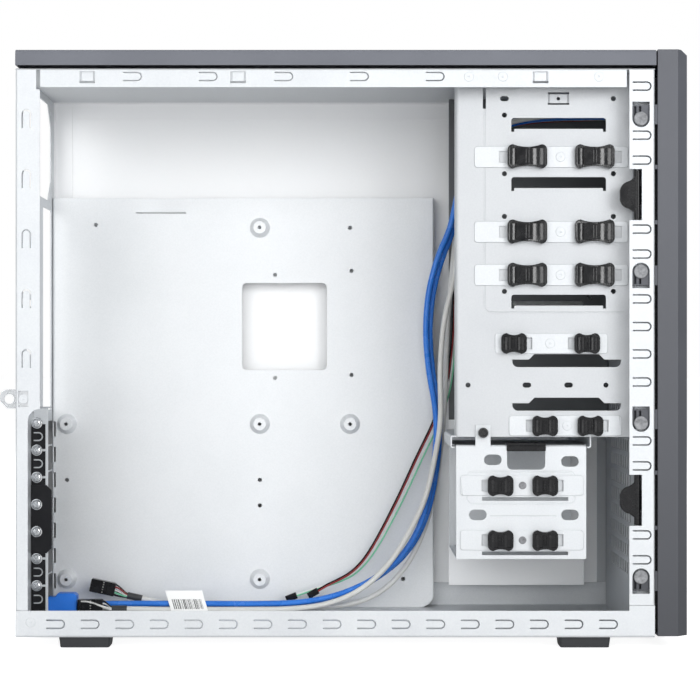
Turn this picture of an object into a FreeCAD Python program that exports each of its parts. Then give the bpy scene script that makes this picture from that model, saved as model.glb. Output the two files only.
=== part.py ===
import math
import os
import types

import FreeCAD
import Part
import Sketcher

# Open tower chassis for a full-size board, without its left side panel.
# X runs from the rear to the front, Y from the open side to the closed side, Z up.
# The origin is the middle of the footprint, on the surface that the feet stand on.
# All sizes are millimetres. Levels are measured up from the underside of the bottom plate.

SIZES = {
    # Whole case
    "case_width": 200.0,
    "chassis_length": 459.0,
    "chassis_height": 408.6,
    "bezel_depth": 24.0,
    "bezel_reveal": 1.9,
    "hasp_reach": 11.5,
    "foot_height": 8.0,
    "steel": 1.0,
    "bend": 0.8,
    "play": 0.3,
    "seam": 0.2,
    # Lanced fingers and flanges
    "finger_length": 13.5,
    "finger_width": 6.8,
    "finger_cut": 1.0,
    "bottom_flange": 19.2,
    "bottom_finger_start": 22.15,
    "bottom_finger_pitch": 24.8,
    "bottom_finger_level": 9.5,
    "rear_flange": 17.6,
    "rear_flange_narrow": 8.9,
    "rear_flange_top": 15.0,
    "rear_flange_top_level": 393.5,
    "rear_flange_curve": 9.0,
    "rear_far_flange": 15.0,
    "rear_finger_inset": 7.85,
    "rear_finger_level": 193.5,
    "rear_finger_pitch": 43.0,
    "front_flange": 18.4,
    "front_rim": 10.0,
    "front_wall_setback": 11.25,
    "front_finger_start": 15.95,
    "top_rail": 13.6,
    "rail_rear_gap": 17.85,
    "rail_front_gap": 20.25,
    "top_finger_start": 77.35,
    "top_finger_pitch": 54.3,
    "top_finger_level": 402.6,
    "bridge_length": 11.2,
    "bridge_height": 8.4,
    "bridge_lift": 1.6,
    "bridge_gap": 1.8,
    "bridge_level": 397.8,
    "bridge_a": 51.6,
    "bridge_b": 159.85,
    "bridge_c": 376.9,
    "groove": 0.9,
    "groove_depth": 0.35,
    "rivet_radius": 2.6,
    "rivet_crown": 1.56,
    "rivet_dome": 1.0,
    # Bezel hook windows and latch notches in the front flange
    "hook_window_width": 12.4,
    "hook_window_height": 18.2,
    "hook_window_inset": 3.8,
    "hook_groove": 1.6,
    "hook_groove_a": 0.9,
    "hook_groove_b": 4.4,
    "hook_groove_depth": 4.0,
    "flange_tab": 3.8,
    "latch_notch_height": 36.6,
    "latch_notch_depth": 9.0,
    "upper_latch_level": 299.6,
    "lower_latch_level": 80.2,
    # Covers
    "cover_gap": 2.1,
    "cover_height": 11.3,
    "cover_overhang": 0.9,
    "cover_wall": 1.2,
    "cover_edge": 2.0,
    "cover_rib_spread": 60.0,
    "side_lip": 12.0,
    # Motherboard tray
    "tray_standoff": 20.0,
    "tray_length": 306.6,
    "tray_height": 328.7,
    "tray_corner": 12.0,
    "boss_base": 8.0,
    "boss_top": 5.0,
    "boss_height": 6.35,
    "boss_hole": 1.4,
    "board_first_column": 12.85,
    "board_column_pitch": 154.94,
    "board_third_column": 227.33,
    "board_low_row": 23.84,
    "board_middle_row": 148.3,
    "board_top_row": 305.78,
    "tray_small_hole": 1.6,
    "cooler_start": 153.45,
    "cooler_length": 68.2,
    "cooler_level": 191.6,
    "cooler_height": 69.8,
    "cooler_corner": 4.0,
    "ledge_start": 68.35,
    "ledge_length": 40.1,
    "ledge_depth": 12.4,
    "ledge_slope": 8.0,
    "ledge_press": 3.0,
    "tongue_slit": 2.6,
    "tongue_height": 12.0,
    "tongue_drop": 8.0,
    # Rear openings
    "power_width": 142.0,
    "power_height": 76.0,
    "power_level": 326.0,
    "power_centre": 3.0,
    "power_corner": 16.0,
    "power_hole_width": 138.0,
    "power_hole_height": 64.0,
    "screw_hole": 2.0,
    "io_width": 44.45,
    "io_height": 158.75,
    "io_level": 160.2,
    "io_centre": 52.5,
    "fan_centre": -30.0,
    "fan_level": 242.0,
    "fan_radius": 42.0,
    "fan_slot_height": 5.0,
    "fan_slot_pitch": 9.0,
    "fan_hole_pitch": 82.5,
    # Expansion slots
    "slot_level": 30.2,
    "slot_pitch": 20.32,
    "slot_opening": 13.0,
    "slot_start": -24.0,
    "slot_end": 70.0,
    "slot_cover_width": 18.6,
    "slot_cover_tab": 10.8,
    "ledge_plane": 69.0,
    "ledge_reach": 12.7,
    "ledge_low": 8.0,
    "cover_finger": 7.2,
    "ledge_high": 164.0,
    "ledge_flange": 20.0,
    "slot_screw_inset": 5.5,
    "slot_screw_radius": 4.3,
    "slot_screw_crown": 3.1,
    "slot_screw_head": 2.6,
    "slot_screw_shank": 1.6,
    "bracket_low": 54.6,
    "bracket_high": 105.6,
    "bracket_reach": 15.6,
    "bracket_corner": 4.0,
    "bracket_thickness": 1.2,
    # Padlock loop
    "hasp_low": 164.4,
    "hasp_height": 13.6,
    "hasp_thickness": 1.5,
    "hasp_hole": 3.5,
    "hasp_hole_reach": 4.6,
    "hasp_base": 15.0,
    "hasp_window_start": 2.2,
    "hasp_window_width": 6.9,
    # Drive cage
    "cage_inset": 21.0,
    "cage_inner_width": 148.0,
    "cage_reach": 142.55,
    "cage_far_reach": 140.0,
    "cage_level": 143.3,
    "cage_far_level": 20.0,
    "cage_far_lower_gap": 32.0,
    "cage_bead": 2.2,
    "cage_hem": 8.0,
    "cage_front_flange": 10.0,
    "large_slot_start": 101.55,
    "large_slot_length": 68.8,
    "large_slot_height": 10.0,
    "large_slot_leg": 2.1,
    "small_slot_corner": 4.0,
    "large_slot_a": 365.2,
    "large_slot_b": 322.2,
    "large_slot_c": 236.7,
    "small_slot_start": 100.75,
    "small_slot_length": 78.9,
    "small_slot_height": 9.4,
    "small_slot_step": 12.0,
    "small_slot_a": 194.1,
    "small_slot_b": 162.4,
    "drive_hole": 1.8,
    "drive_hole_front": 27.35,
    "drive_hole_pitch": 79.2,
    "drive_hole_a": 334.7,
    "drive_hole_b": 303.6,
    "drive_hole_c": 249.1,
    "drive_hole_rise": 42.6,
    "drive_slot_rise": 54.6,
    "drive_slot": 6.2,
    "low_hole_drop": 13.1,
    "low_hole_inset": 9.5,
    "low_slot_a": 7.4,
    "low_slot_b": 37.7,
    "low_hole_shift": 5.4,
    "cage_slit_start": 122.25,
    "cage_slit_width": 2.2,
    "cage_slit_low": 382.0,
    "cage_slit_height": 15.0,
    "groove_start": 121.45,
    "groove_end": 19.25,
    "groove_low": 233.4,
    "groove_corner": 5.0,
    "cage_bridge_start": 75.05,
    "cage_bridge_length": 15.6,
    "cage_bridge_low": 384.9,
    "cage_bridge_height": 9.0,
    "cage_bridge_gap": 1.2,
    "cage_bridge_hole": 1.2,
    # Drive locks: a strip on the cage plate and two clips that slide in its slots
    "strip": 1.0,
    "large_strip_height": 15.3,
    "small_strip_height": 14.6,
    "large_clip_length": 28.7,
    "large_clip_height": 17.5,
    "small_clip_length": 18.5,
    "small_clip_height": 15.0,
    "large_clip_sweep": 29.1,
    "small_clip_sweep": 10.4,
    "clip_depth": 5.0,
    "clip_corner": 4.0,
    "clip_rim": 1.3,
    "clip_ridge": 1.5,
    "clip_rib": 0.9,
    "clip_rib_rise": 0.6,
    "large_dish": 9.6,
    "small_dish": 5.0,
    "clip_neck_length": 8.0,
    "clip_neck_height": 7.6,
    "clip_foot_margin": 1.4,
    "clip_foot": 1.5,
    "large_travel": 6.0,
    "small_travel": 9.0,
    "lock_a_level": 346.8,
    "lock_b_level": 292.3,
    "lock_c_level": 261.0,
    "large_strip_start": 128.45,
    "large_strip_length": 111.7,
    "large_strip_window": 9.7,
    "large_clip_rear": 90.35,
    "large_clip_front": 41.45,
    "lock_d_level": 211.2,
    "lock_d_start": 113.45,
    "lock_d_rear": 99.95,
    "lock_d_front": 46.95,
    "lock_e_level": 151.4,
    "lock_e_start": 103.25,
    "lock_e_rear": 77.45,
    "lock_e_front": 44.55,
    "small_strip_length": 81.8,
    # Hard-disk cage
    "disk_start": 141.75,
    "disk_length": 94.5,
    "disk_low": 54.6,
    "disk_height": 82.8,
    "disk_depth": 106.4,
    "disk_ahead": 1.4,
    "disk_lip": 2.4,
    "disk_lip_start": 20.0,
    "rail_foot": 3.0,
    "rail_gap": 0.5,
    "disk_strip_start": 138.85,
    "disk_strip_length": 89.4,
    "disk_lock_a_level": 108.1,
    "disk_lock_b_level": 68.4,
    "disk_clip_rear": 109.75,
    "disk_clip_front": 77.45,
    "disk_slot_length": 12.7,
    "disk_slot_height": 7.6,
    "disk_window_start": 18.9,
    "disk_window_length": 62.5,
    "disk_window_height": 2.6,
    "disk_window_a": 97.0,
    "disk_window_b": 57.5,
    "disk_panel_start": 7.5,
    "disk_panel_length": 78.9,
    "disk_panel_low": 94.4,
    "disk_panel_height": 24.2,
    "disk_line_start": 24.5,
    "disk_line_length": 48.0,
    "disk_line_level": 85.3,
    "finger_gap_start": 104.75,
    "finger_gap_length": 27.7,
    "finger_gap_level": 119.6,
    "grip_level": 133.0,
    "grip_height": 8.0,
    "grip_thickness": 1.6,
    "grip_leg": 11.0,
    "disk_tab_start": 127.65,
    "disk_tab_width": 10.9,
    "disk_tab_top": 151.9,
    "thumbscrew_level": 146.4,
    "thumbscrew_radius": 3.8,
    "thumbscrew_head": 4.5,
    "thumbscrew_shank": 1.7,
    # Front bezel
    "bezel_wall": 2.5,
    "bezel_front_wall": 3.0,
    "bezel_chamfer": 7.6,
    "bezel_low": 1.0,
    "bezel_top_run": 5.04,
    "bezel_top_drop": 3.36,
    "bay_opening_width": 149.0,
    "bay_opening_height": 41.6,
    "bay_level": 239.6,
    "bay_pitch": 42.7,
    "small_bay_width": 102.0,
    "small_bay_height": 26.0,
    "small_bay_level": 204.0,
    "small_bay_centre": -25.0,
    "bay_cover_depth": 3.0,
    "bay_cover_lug": 12.0,
    "vent_width": 140.0,
    "vent_height": 5.0,
    "vent_pitch": 12.0,
    "vent_level": 40.0,
    "vent_hole": 9.0,
    "vent_hole_pitch": 13.0,
    "io_bar_width": 96.0,
    "io_bar_height": 15.0,
    "io_bar_level": 384.5,
    "io_bar_centre": 18.0,
    "lead_room": 4.0,
    "io_module_depth": 16.0,
    "usb_socket_width": 13.2,
    "usb_socket_height": 7.2,
    "jack_radius": 3.1,
    "power_button_radius": 9.0,
    "power_button_inset": 42.0,
    "reset_button_radius": 3.5,
    "reset_button_inset": 60.0,
    "button_level": 392.0,
    "button_recess": 0.4,
    "lens_radius": 1.8,
    "lens_inset": 25.8,
    # Bezel latches
    "latch_pin_inset": 12.05,
    "latch_pin_radius": 1.25,
    "latch_pin_run": 0.05,
    "latch_hub": 2.4,
    "latch_pad_radius": 13.2,
    "latch_pad_reach": 11.4,
    "latch_pad_thickness": 3.4,
    "latch_arm": 7.0,
    "latch_plane": 5.6,
    "ear_thickness": 3.0,
    # Feet
    "foot_length": 37.5,
    "foot_width": 24.0,
    "foot_corner": 3.0,
    "foot_slope": 8.0,
    "foot_rear": 30.2,
    "foot_front": 31.0,
    "foot_inset": 6.0,
    # Leads
    "blue_lead": 4.6,
    "grey_lead": 4.2,
    "pair_lead": 2.6,
    "sleeve_radius": 2.8,
    "sleeve_length": 11.8,
    "wire_length": 7.1,
    "plug_length": 19.7,
    "plug_width": 7.0,
    "plug_height": 10.4,
    "wires_width": 4.9,
    "wires_height": 4.16,
    "usb_plug_length": 22.9,
    "usb_plug_depth": 12.0,
    "usb_plug_near": 5.04,
    "usb_plug_height": 15.0,
    "usb_plug_nose": 5.6,
    "usb_plug_step": 3.0,
    "usb_plug_corner": 2.2,
    "pin_plug_length": 9.0,
    "pin_plug_width": 2.6,
    "pin_plug_height": 5.2,
    "flag_length": 34.0,
    "flag_tail": 12.92,
    "flag_height": 17.2,
    "flag_thickness": 0.4,
}

FRONT_FINGER_LEVELS = ((395.7, 360.5, 342.6), (293.1, 275.2), (243.0, 223.2, 203.5, 183.4),
                       (141.1, 123.2), (73.7, 55.8))
HOOK_WINDOW_LEVELS = ((366.3, "low"), (250.8, "high"), (147.6, "low"), (31.4, "high"))
# Small tray holes: board column, distance from it, board row, distance from it
TRAY_HOLES = ((0, 23.3, 2, 2.3), (2, 0.0, 2, 0.0), (1, 12.2, 2, -37.8), (2, 1.2, 2, -34.6),
              (1, 12.2, 1, 36.9), (2, 1.2, 1, 39.3), (0, 0.0, 1, -45.0), (1, 0.0, 1, -45.0),
              (1, 0.0, 1, -65.5), (2, 42.6, 0, 0.0))
# Finger slots of the hard-disk cage: distance from its rear edge, level
DISK_SLOTS = ((20.3, 122.9), (76.3, 121.7), (9.4, 82.9), (76.3, 82.9))
# Top rail rivets: distance behind the front; and their level
TOP_RIVETS = (133.5, 109.2, 40.3)
TOP_RIVET_LEVEL = 402.5
# Rear corner rivet: distance from the rear and level
CORNER_RIVET = 11.0
# Sockets of the front module: distance from its middle
USB_SOCKETS = (-32.0, -12.0)
JACKS = (14.0, 30.0)
SLOT_COUNT = 7
BRACKET_SLOTS = (2, 3)

doc = FreeCAD.newDocument("pc_case")
sheet = doc.addObject("Spreadsheet::Sheet", "Sizes")
for row, (name, number) in enumerate(SIZES.items(), start=1):
    sheet.set(f"A{row}", name)
    sheet.set(f"B{row}", str(number))
    sheet.setAlias(f"B{row}", name)
doc.recompute()


class Size:
    """A length: its value in millimetres and the sheet formula that gives it."""

    def __init__(self, value, formula):
        self.value = float(value)
        self.formula = formula

    def __add__(self, other):
        other = as_size(other)
        return Size(self.value + other.value, f"({self.formula} + {other.formula})")

    def __sub__(self, other):
        other = as_size(other)
        return Size(self.value - other.value, f"({self.formula} - {other.formula})")

    def __mul__(self, factor):
        return Size(self.value * factor, f"({self.formula} * {factor!r})")

    def __truediv__(self, divisor):
        return Size(self.value / divisor, f"({self.formula} / {divisor!r})")

    def __neg__(self):
        return Size(-self.value, f"(0 - {self.formula})")

    __radd__ = __add__
    __rmul__ = __mul__


def as_size(number):
    if isinstance(number, Size):
        return number
    return Size(number, repr(float(number)))


S = types.SimpleNamespace(**{name: Size(sheet.get(name), f"Sizes.{name}") for name in SIZES})

# Planes that the pieces share
rear = (S.hasp_reach - S.chassis_length - S.bezel_depth) / 2
front = rear + S.chassis_length
face = front + S.bezel_depth
near = -S.case_width / 2
far = S.case_width / 2
near_wall = near + S.steel
far_wall = far - S.steel
floor = S.foot_height
deck = floor + S.steel
roof = floor + S.chassis_height
ceiling = roof - S.steel
front_wall = front - S.front_wall_setback
front_wall_back = front_wall - S.steel
cage_near = near + S.cage_inset
cage_near_back = cage_near + S.steel
cage_far = cage_near_back + S.cage_inner_width
tray = far - S.tray_standoff
ledge = near + S.ledge_plane
strip_face = cage_near - S.strip
disk_near = cage_near - S.disk_ahead
disk_back = disk_near + S.steel
disk_strip_face = disk_near - S.strip
disk_far = disk_near + S.disk_depth
power_y = near + S.power_button_inset
reset_y = near + S.reset_button_inset
lens_y = near + S.lens_inset

LEFT = 1
RIGHT = -1
parts = {}


def level(height):
    return floor + height


def behind_front(distance):
    return front - distance


def from_rear(distance):
    return rear + distance


def origin_feature(body, role):
    return next(item for item in body.Origin.OriginFeatures if item.Role == role)


def new_body(label):
    body = doc.addObject("PartDesign::Body", label)
    body.Label = label
    return body


def keep(label, piece):
    piece.Label = label
    parts[label] = piece
    return piece


def sketch_on(body, plane, offset):
    sketch = body.newObject("Sketcher::SketchObject", f"{body.Label}_sketch")
    sketch.AttachmentSupport = [(origin_feature(body, plane), "")]
    sketch.MapMode = "FlatFace"
    sketch.setExpression("AttachmentOffset.Base.z", as_size(offset).formula)
    return sketch


def side_sketch(body, y):
    """Sketch in the plane of the open side: X to the right, Z up."""
    return sketch_on(body, "XZ_Plane", -as_size(y))


def end_sketch(body, x):
    """Sketch across the case: Y to the right, Z up."""
    return sketch_on(body, "YZ_Plane", x)


def plan_sketch(body, z):
    """Sketch seen from above: X to the right, Y up the page."""
    return sketch_on(body, "XY_Plane", z)


def add_rules(sketch, rules):
    """Add constraints, each with the formula that drives it or None."""
    numbers = sketch.addConstraint([rule for rule, formula in rules])
    for number, (rule, formula) in zip(numbers, rules):
        if formula is not None:
            sketch.setExpression(f"Constraints[{number}]", formula)


def place_rules(geometry, point, x, y):
    rules = []
    for kind, size, axis in (("DistanceX", x, -2), ("DistanceY", y, -1)):
        if abs(size.value) < 1e-9:
            rules.append((Sketcher.Constraint("PointOnObject", geometry, point, axis), None))
        else:
            rules.append((Sketcher.Constraint(kind, -1, 1, geometry, point, size.value), size.formula))
    return rules


def arc_between(start, end, radius, turn):
    """Arc from start to end, not over half a circle, turning left or right."""
    chord = end - start
    half = chord.Length / 2
    rise = math.sqrt(max(radius ** 2 - half ** 2, 0.0))
    left = FreeCAD.Vector(-chord.y, chord.x, 0).normalize()
    centre = (start + end) / 2 + left * (rise * turn)
    begin, finish = (start, end) if turn == LEFT else (end, start)
    begin_angle = math.atan2(begin.y - centre.y, begin.x - centre.x)
    finish_angle = math.atan2(finish.y - centre.y, finish.x - centre.x)
    circle = Part.Circle(centre, FreeCAD.Vector(0, 0, 1), radius)
    return Part.ArcOfCircle(circle, begin_angle, finish_angle)


def outline(sketch, start, *moves):
    """Closed outline. A move (x, y) is a straight side, (x, y, radius, turn) an arc."""
    base = sketch.GeometryCount
    corners = [tuple(as_size(value) for value in corner[:2]) for corner in (start, *moves)]
    points = [FreeCAD.Vector(x.value, y.value, 0) for x, y in corners]
    if (points[-1] - points[0]).Length < 1e-9:
        corners.pop()
        points.pop()
    count = len(corners)
    shapes, ends, rules = [], [], []
    for number in range(count):
        begin, finish = points[number], points[(number + 1) % count]
        move = moves[number] if number < len(moves) else start
        if len(move) == 2:
            shapes.append(Part.LineSegment(begin, finish))
            ends.append((1, 2))
            continue
        radius, turn = as_size(move[2]), move[3]
        shapes.append(arc_between(begin, finish, radius.value, turn))
        ends.append((1, 2) if turn == LEFT else (2, 1))
        half_circle = abs((finish - begin).Length / 2 - radius.value) < 1e-6
        x, y = corners[number]
        geometry = base + number
        if not half_circle:
            rules.append((Sketcher.Constraint("Radius", geometry, radius.value), radius.formula))
        elif abs(begin.x - finish.x) < 1e-6:
            rules.append((Sketcher.Constraint("DistanceX", -1, 1, geometry, 3, x.value), x.formula))
        else:
            rules.append((Sketcher.Constraint("DistanceY", -1, 1, geometry, 3, y.value), y.formula))
    sketch.addGeometry(shapes)
    for number, (x, y) in enumerate(corners):
        after = (number + 1) % count
        meeting = Sketcher.Constraint("Coincident", base + number, ends[number][1],
                                      base + after, ends[after][0])
        rules.append((meeting, None))
        rules += place_rules(base + number, ends[number][0], x, y)
    add_rules(sketch, rules)


def rectangle(sketch, left, low, right, high):
    outline(sketch, (left, low), (right, low), (right, high), (left, high))


def rounded(sketch, left, low, right, high, radius):
    outline(sketch, (left + radius, low),
            (right - radius, low), (right, low + radius, radius, LEFT),
            (right, high - radius), (right - radius, high, radius, LEFT),
            (left + radius, high), (left, high - radius, radius, LEFT),
            (left, low + radius), (left + radius, low, radius, LEFT))


def slot(sketch, left, right, middle, height):
    """Slot with round ends, lying along the sketch's first axis."""
    half = height / 2
    outline(sketch, (left + half, middle - half),
            (right - half, middle - half), (right - half, middle + half, half, LEFT),
            (left + half, middle + half), (left + half, middle - half, half, LEFT))


def circle(sketch, x, y, radius):
    x, y, radius = as_size(x), as_size(y), as_size(radius)
    centre = FreeCAD.Vector(x.value, y.value, 0)
    number = sketch.addGeometry(Part.Circle(centre, FreeCAD.Vector(0, 0, 1), radius.value))
    rules = [(Sketcher.Constraint("Radius", number, radius.value), radius.formula)]
    add_rules(sketch, rules + place_rules(number, 3, x, y))


def finger_along(sketch, start, middle, length=S.finger_length):
    """U-shaped cut of a spring finger whose round end points along the first axis."""
    half = S.finger_width / 2
    inner = half - S.finger_cut
    turn_at = start + length - half
    outline(sketch, (start, middle - half),
            (turn_at, middle - half), (turn_at, middle + half, half, LEFT),
            (start, middle + half), (start, middle + inner),
            (turn_at, middle + inner), (turn_at, middle - inner, inner, RIGHT),
            (start, middle - inner))


def finger_up(sketch, middle, start):
    """U-shaped cut of a spring finger whose round end points up."""
    half = S.finger_width / 2
    inner = half - S.finger_cut
    turn_at = start + S.finger_length - half
    outline(sketch, (middle + half, start),
            (middle + half, turn_at), (middle - half, turn_at, half, LEFT),
            (middle - half, start), (middle - inner, start),
            (middle - inner, turn_at), (middle + inner, turn_at, inner, RIGHT),
            (middle + inner, start))


def fold(sketch, path, thickness, bends):
    """Section of a folded sheet. The path is one face, the sheet lies on its left, all bends are square."""
    path = [tuple(as_size(value) for value in point) for point in path]
    headings = []
    for (x0, y0), (x1, y1) in zip(path, path[1:]):
        dx, dy = x1.value - x0.value, y1.value - y0.value
        along_x = abs(dx) > abs(dy)
        headings.append((int(math.copysign(1, dx)), 0) if along_x else (0, int(math.copysign(1, dy))))

    def shifted(point, *steps):
        x, y = point
        for (dx, dy), distance in steps:
            x = x + distance * dx if dx else x
            y = y + distance * dy if dy else y
        return x, y

    def left_of(heading):
        return -heading[1], heading[0]

    def back(heading):
        return -heading[0], -heading[1]

    face_side, inner_side = [path[0]], [shifted(path[0], (left_of(headings[0]), thickness))]
    for number, bend in enumerate(bends):
        before, after = headings[number], headings[number + 1]
        turn = LEFT if before[0] * after[1] - before[1] * after[0] > 0 else RIGHT
        corner = path[number + 1]
        inner_corner = shifted(corner, (left_of(before), thickness), (left_of(after), thickness))
        face_radius, inner_radius = (bend + thickness, bend) if turn == LEFT else (bend, bend + thickness)
        face_side.append(shifted(corner, (back(before), face_radius)))
        face_side.append((*shifted(corner, (after, face_radius)), face_radius, turn))
        inner_side.append(shifted(inner_corner, (back(before), inner_radius)))
        inner_side.append((*shifted(inner_corner, (after, inner_radius)), inner_radius, turn))
    face_side.append(path[-1])
    inner_side.append(shifted(path[-1], (left_of(headings[-1]), thickness)))
    returning = [inner_side[-1]]
    for number in range(len(inner_side) - 1, 0, -1):
        move = inner_side[number]
        target = inner_side[number - 1][:2]
        returning.append((*target, move[2], -move[3]) if len(move) == 4 else target)
    outline(sketch, face_side[0], *face_side[1:], *returning)


def pad(body, sketch, length, reverse=False):
    feature = body.newObject("PartDesign::Pad", f"{body.Label}_pad")
    feature.Profile = sketch
    feature.setExpression("Length", as_size(length).formula)
    feature.Reversed = reverse
    return feature


def pocket(body, sketch, depth, reverse=False):
    feature = body.newObject("PartDesign::Pocket", f"{body.Label}_pocket")
    feature.Profile = sketch
    feature.setExpression("Length", as_size(depth).formula)
    feature.Reversed = reverse
    return feature


def row_of(body, feature, axis, spread, count):
    """Repeat a feature along one axis, evenly over a spread."""
    pattern = body.newObject("PartDesign::LinearPattern", f"{body.Label}_row")
    pattern.Originals = [feature]
    pattern.Direction = (origin_feature(body, axis), [""])
    pattern.setExpression("Length", as_size(spread).formula)
    pattern.Occurrences = count
    body.Tip = pattern
    return pattern


def grid_of(body, feature, spread_y, count_y, spread_z, count_z):
    """Repeat a feature over a grid across the case."""
    grid = body.newObject("PartDesign::MultiTransform", f"{body.Label}_grid")
    rows = []
    for axis, spread, count in (("Y_Axis", spread_y, count_y), ("Z_Axis", spread_z, count_z)):
        row = body.newObject("PartDesign::LinearPattern", f"{body.Label}_grid_row")
        row.Direction = (origin_feature(body, axis), [""])
        row.setExpression("Length", as_size(spread).formula)
        row.Occurrences = count
        rows.append(row)
    grid.Originals = [feature]
    grid.Transformations = rows
    body.Tip = grid
    return grid


def block(body, x0, x1, y0, y1, z0, z1):
    """Pad a plain rectangle of the body between two levels."""
    sketch = plan_sketch(body, z0)
    rectangle(sketch, as_size(x0), as_size(y0), as_size(x1), as_size(y1))
    return pad(body, sketch, as_size(z1) - z0)


def group(label, pieces):
    compound = doc.addObject("Part::Compound", label)
    compound.Links = pieces
    return keep(label, compound)


def cylinder_along_y(name, x, y, z, radius, length):
    """Cylinder from y towards the closed side."""
    piece = doc.addObject("Part::Cylinder", name)
    piece.Placement = FreeCAD.Placement(FreeCAD.Vector(), FreeCAD.Rotation(FreeCAD.Vector(1, 0, 0), -90))
    for prop, size in (("Radius", radius), ("Height", length), ("Placement.Base.x", x),
                       ("Placement.Base.y", y), ("Placement.Base.z", z)):
        piece.setExpression(prop, as_size(size).formula)
    return piece


def cone_along_y(name, x, y, z, near_radius, far_radius, length):
    piece = doc.addObject("Part::Cone", name)
    piece.Placement = FreeCAD.Placement(FreeCAD.Vector(), FreeCAD.Rotation(FreeCAD.Vector(1, 0, 0), -90))
    for prop, size in (("Radius1", near_radius), ("Radius2", far_radius), ("Height", length),
                       ("Placement.Base.x", x), ("Placement.Base.y", y), ("Placement.Base.z", z)):
        piece.setExpression(prop, as_size(size).formula)
    return piece


def joined(name, base, tool):
    piece = doc.addObject("Part::Fuse", name)
    piece.Base = base
    piece.Tool = tool
    return piece


def clear_bottom_flanges(body, start, end):
    """Cut the corners of an upright panel away where the flanges of the bottom plate stand."""
    reach = S.bottom_flange + S.seam
    cut = plan_sketch(body, floor + reach)
    rectangle(cut, start, near, end, near_wall + S.steel + S.seam)
    rectangle(cut, start, far_wall - S.steel - S.seam, end, far_wall + S.steel)
    pocket(body, cut, reach)


def bottom_plate():
    body = new_body("bottom_plate")
    section = end_sketch(body, rear)
    top = floor + S.bottom_flange
    fold(section, [(near_wall, top), (near_wall, floor), (far_wall, floor), (far_wall, top)], S.steel,
         [S.bend, S.bend])
    pad(body, section, S.chassis_length)
    cut = side_sketch(body, near_wall)
    finger_along(cut, from_rear(S.bottom_finger_start), level(S.bottom_finger_level))
    first = pocket(body, cut, S.steel * 2)
    row_of(body, first, "X_Axis", S.bottom_finger_pitch * 16, 17)
    # The near flange stands higher where it meets the front panel
    block(body, behind_front(S.front_flange), front, near_wall, near_wall + S.steel, top - S.steel,
          top + S.flange_tab)
    return keep("bottom_plate", body)


def slot_middle(number):
    """Level of the middle of an expansion slot; its screw sits half a pitch higher."""
    return level(S.slot_level) + S.slot_pitch * (number - 0.5)


def rear_panel():
    body = new_body("rear_panel")
    section = plan_sketch(body, deck)
    fold(section, [(from_rear(S.rear_far_flange), far_wall), (rear, far_wall), (rear, near_wall),
                   (from_rear(S.rear_flange), near_wall)], S.steel, [S.bend, S.bend])
    pad(body, section, ceiling - deck)
    clear_bottom_flanges(body, rear - S.steel, from_rear(S.rear_flange + S.steel))

    # The near flange is narrow beside the expansion slots and at the top corner
    trim = side_sketch(body, near)
    narrow = from_rear(S.rear_flange_narrow)
    edge = from_rear(S.rear_flange + S.steel)
    curve_low = level(S.ledge_high) - S.rear_flange_curve
    outline(trim, (narrow, floor), (edge, floor), (edge, curve_low + S.rear_flange_curve),
            (narrow + S.rear_flange_curve, curve_low + S.rear_flange_curve),
            (narrow, curve_low, S.rear_flange_curve, LEFT))
    rectangle(trim, from_rear(S.rear_flange_top), level(S.rear_flange_top_level), edge, roof)
    hasp_window = from_rear(S.hasp_window_start)
    rectangle(trim, hasp_window, level(S.hasp_low + S.steel),
              hasp_window + S.hasp_window_width, level(S.hasp_low + S.hasp_height - S.steel))
    pocket(body, trim, S.steel * 3)

    cut = side_sketch(body, near_wall)
    finger_up(cut, from_rear(S.rear_finger_inset), level(S.rear_finger_level))
    first = pocket(body, cut, S.steel * 2)
    row_of(body, first, "Z_Axis", S.rear_finger_pitch * 4, 5)

    # Power supply opening with its screw holes, and the slit that the padlock loop passes
    openings = end_sketch(body, from_rear(S.steel * 2))
    middle = S.power_centre
    half, low = S.power_width / 2, level(S.power_level)
    high, corner = low + S.power_height, S.power_corner
    outline(openings, (middle - half + corner, low), (middle + half - corner, low),
            (middle + half, low + corner), (middle + half, high - corner), (middle + half - corner, high),
            (middle - half + corner, high), (middle - half, high - corner), (middle - half, low + corner))
    for side in (-1, 1):
        for end in (-1, 1):
            circle(openings, middle + S.power_hole_width / 2 * side,
                   low + S.power_height / 2 + S.power_hole_height / 2 * end, S.screw_hole)
    loop_near = near_wall + S.steel
    rectangle(openings, loop_near - S.seam, level(S.hasp_low) - S.seam,
              loop_near + S.hasp_thickness + S.seam, level(S.hasp_low + S.hasp_height) + S.seam)
    pocket(body, openings, S.steel * 3)

    # Connector plate opening and the fan vent
    vents = end_sketch(body, from_rear(S.steel * 2))
    rectangle(vents, S.io_centre - S.io_width / 2, level(S.io_level),
              S.io_centre + S.io_width / 2, level(S.io_level + S.io_height))
    for number in range(-4, 5):
        rise = S.fan_slot_pitch * number
        reach = math.sqrt(S.fan_radius.value ** 2 - rise.value ** 2)
        half_length = S.fan_radius * (reach / S.fan_radius.value)
        slot(vents, S.fan_centre - half_length, S.fan_centre + half_length, level(S.fan_level) + rise,
             S.fan_slot_height)
    for side in (-1, 1):
        for end in (-1, 1):
            circle(vents, S.fan_centre + S.fan_hole_pitch / 2 * side,
                   level(S.fan_level) + S.fan_hole_pitch / 2 * end, S.screw_hole)
    pocket(body, vents, S.steel * 3)

    slots = end_sketch(body, from_rear(S.steel * 2))
    low = slot_middle(0) - S.slot_opening / 2
    rectangle(slots, S.slot_start, low, S.slot_end, low + S.slot_opening)
    first = pocket(body, slots, S.steel * 3)
    row_of(body, first, "Z_Axis", S.slot_pitch * (SLOT_COUNT - 1), SLOT_COUNT)
    return keep("rear_panel", body)


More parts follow.
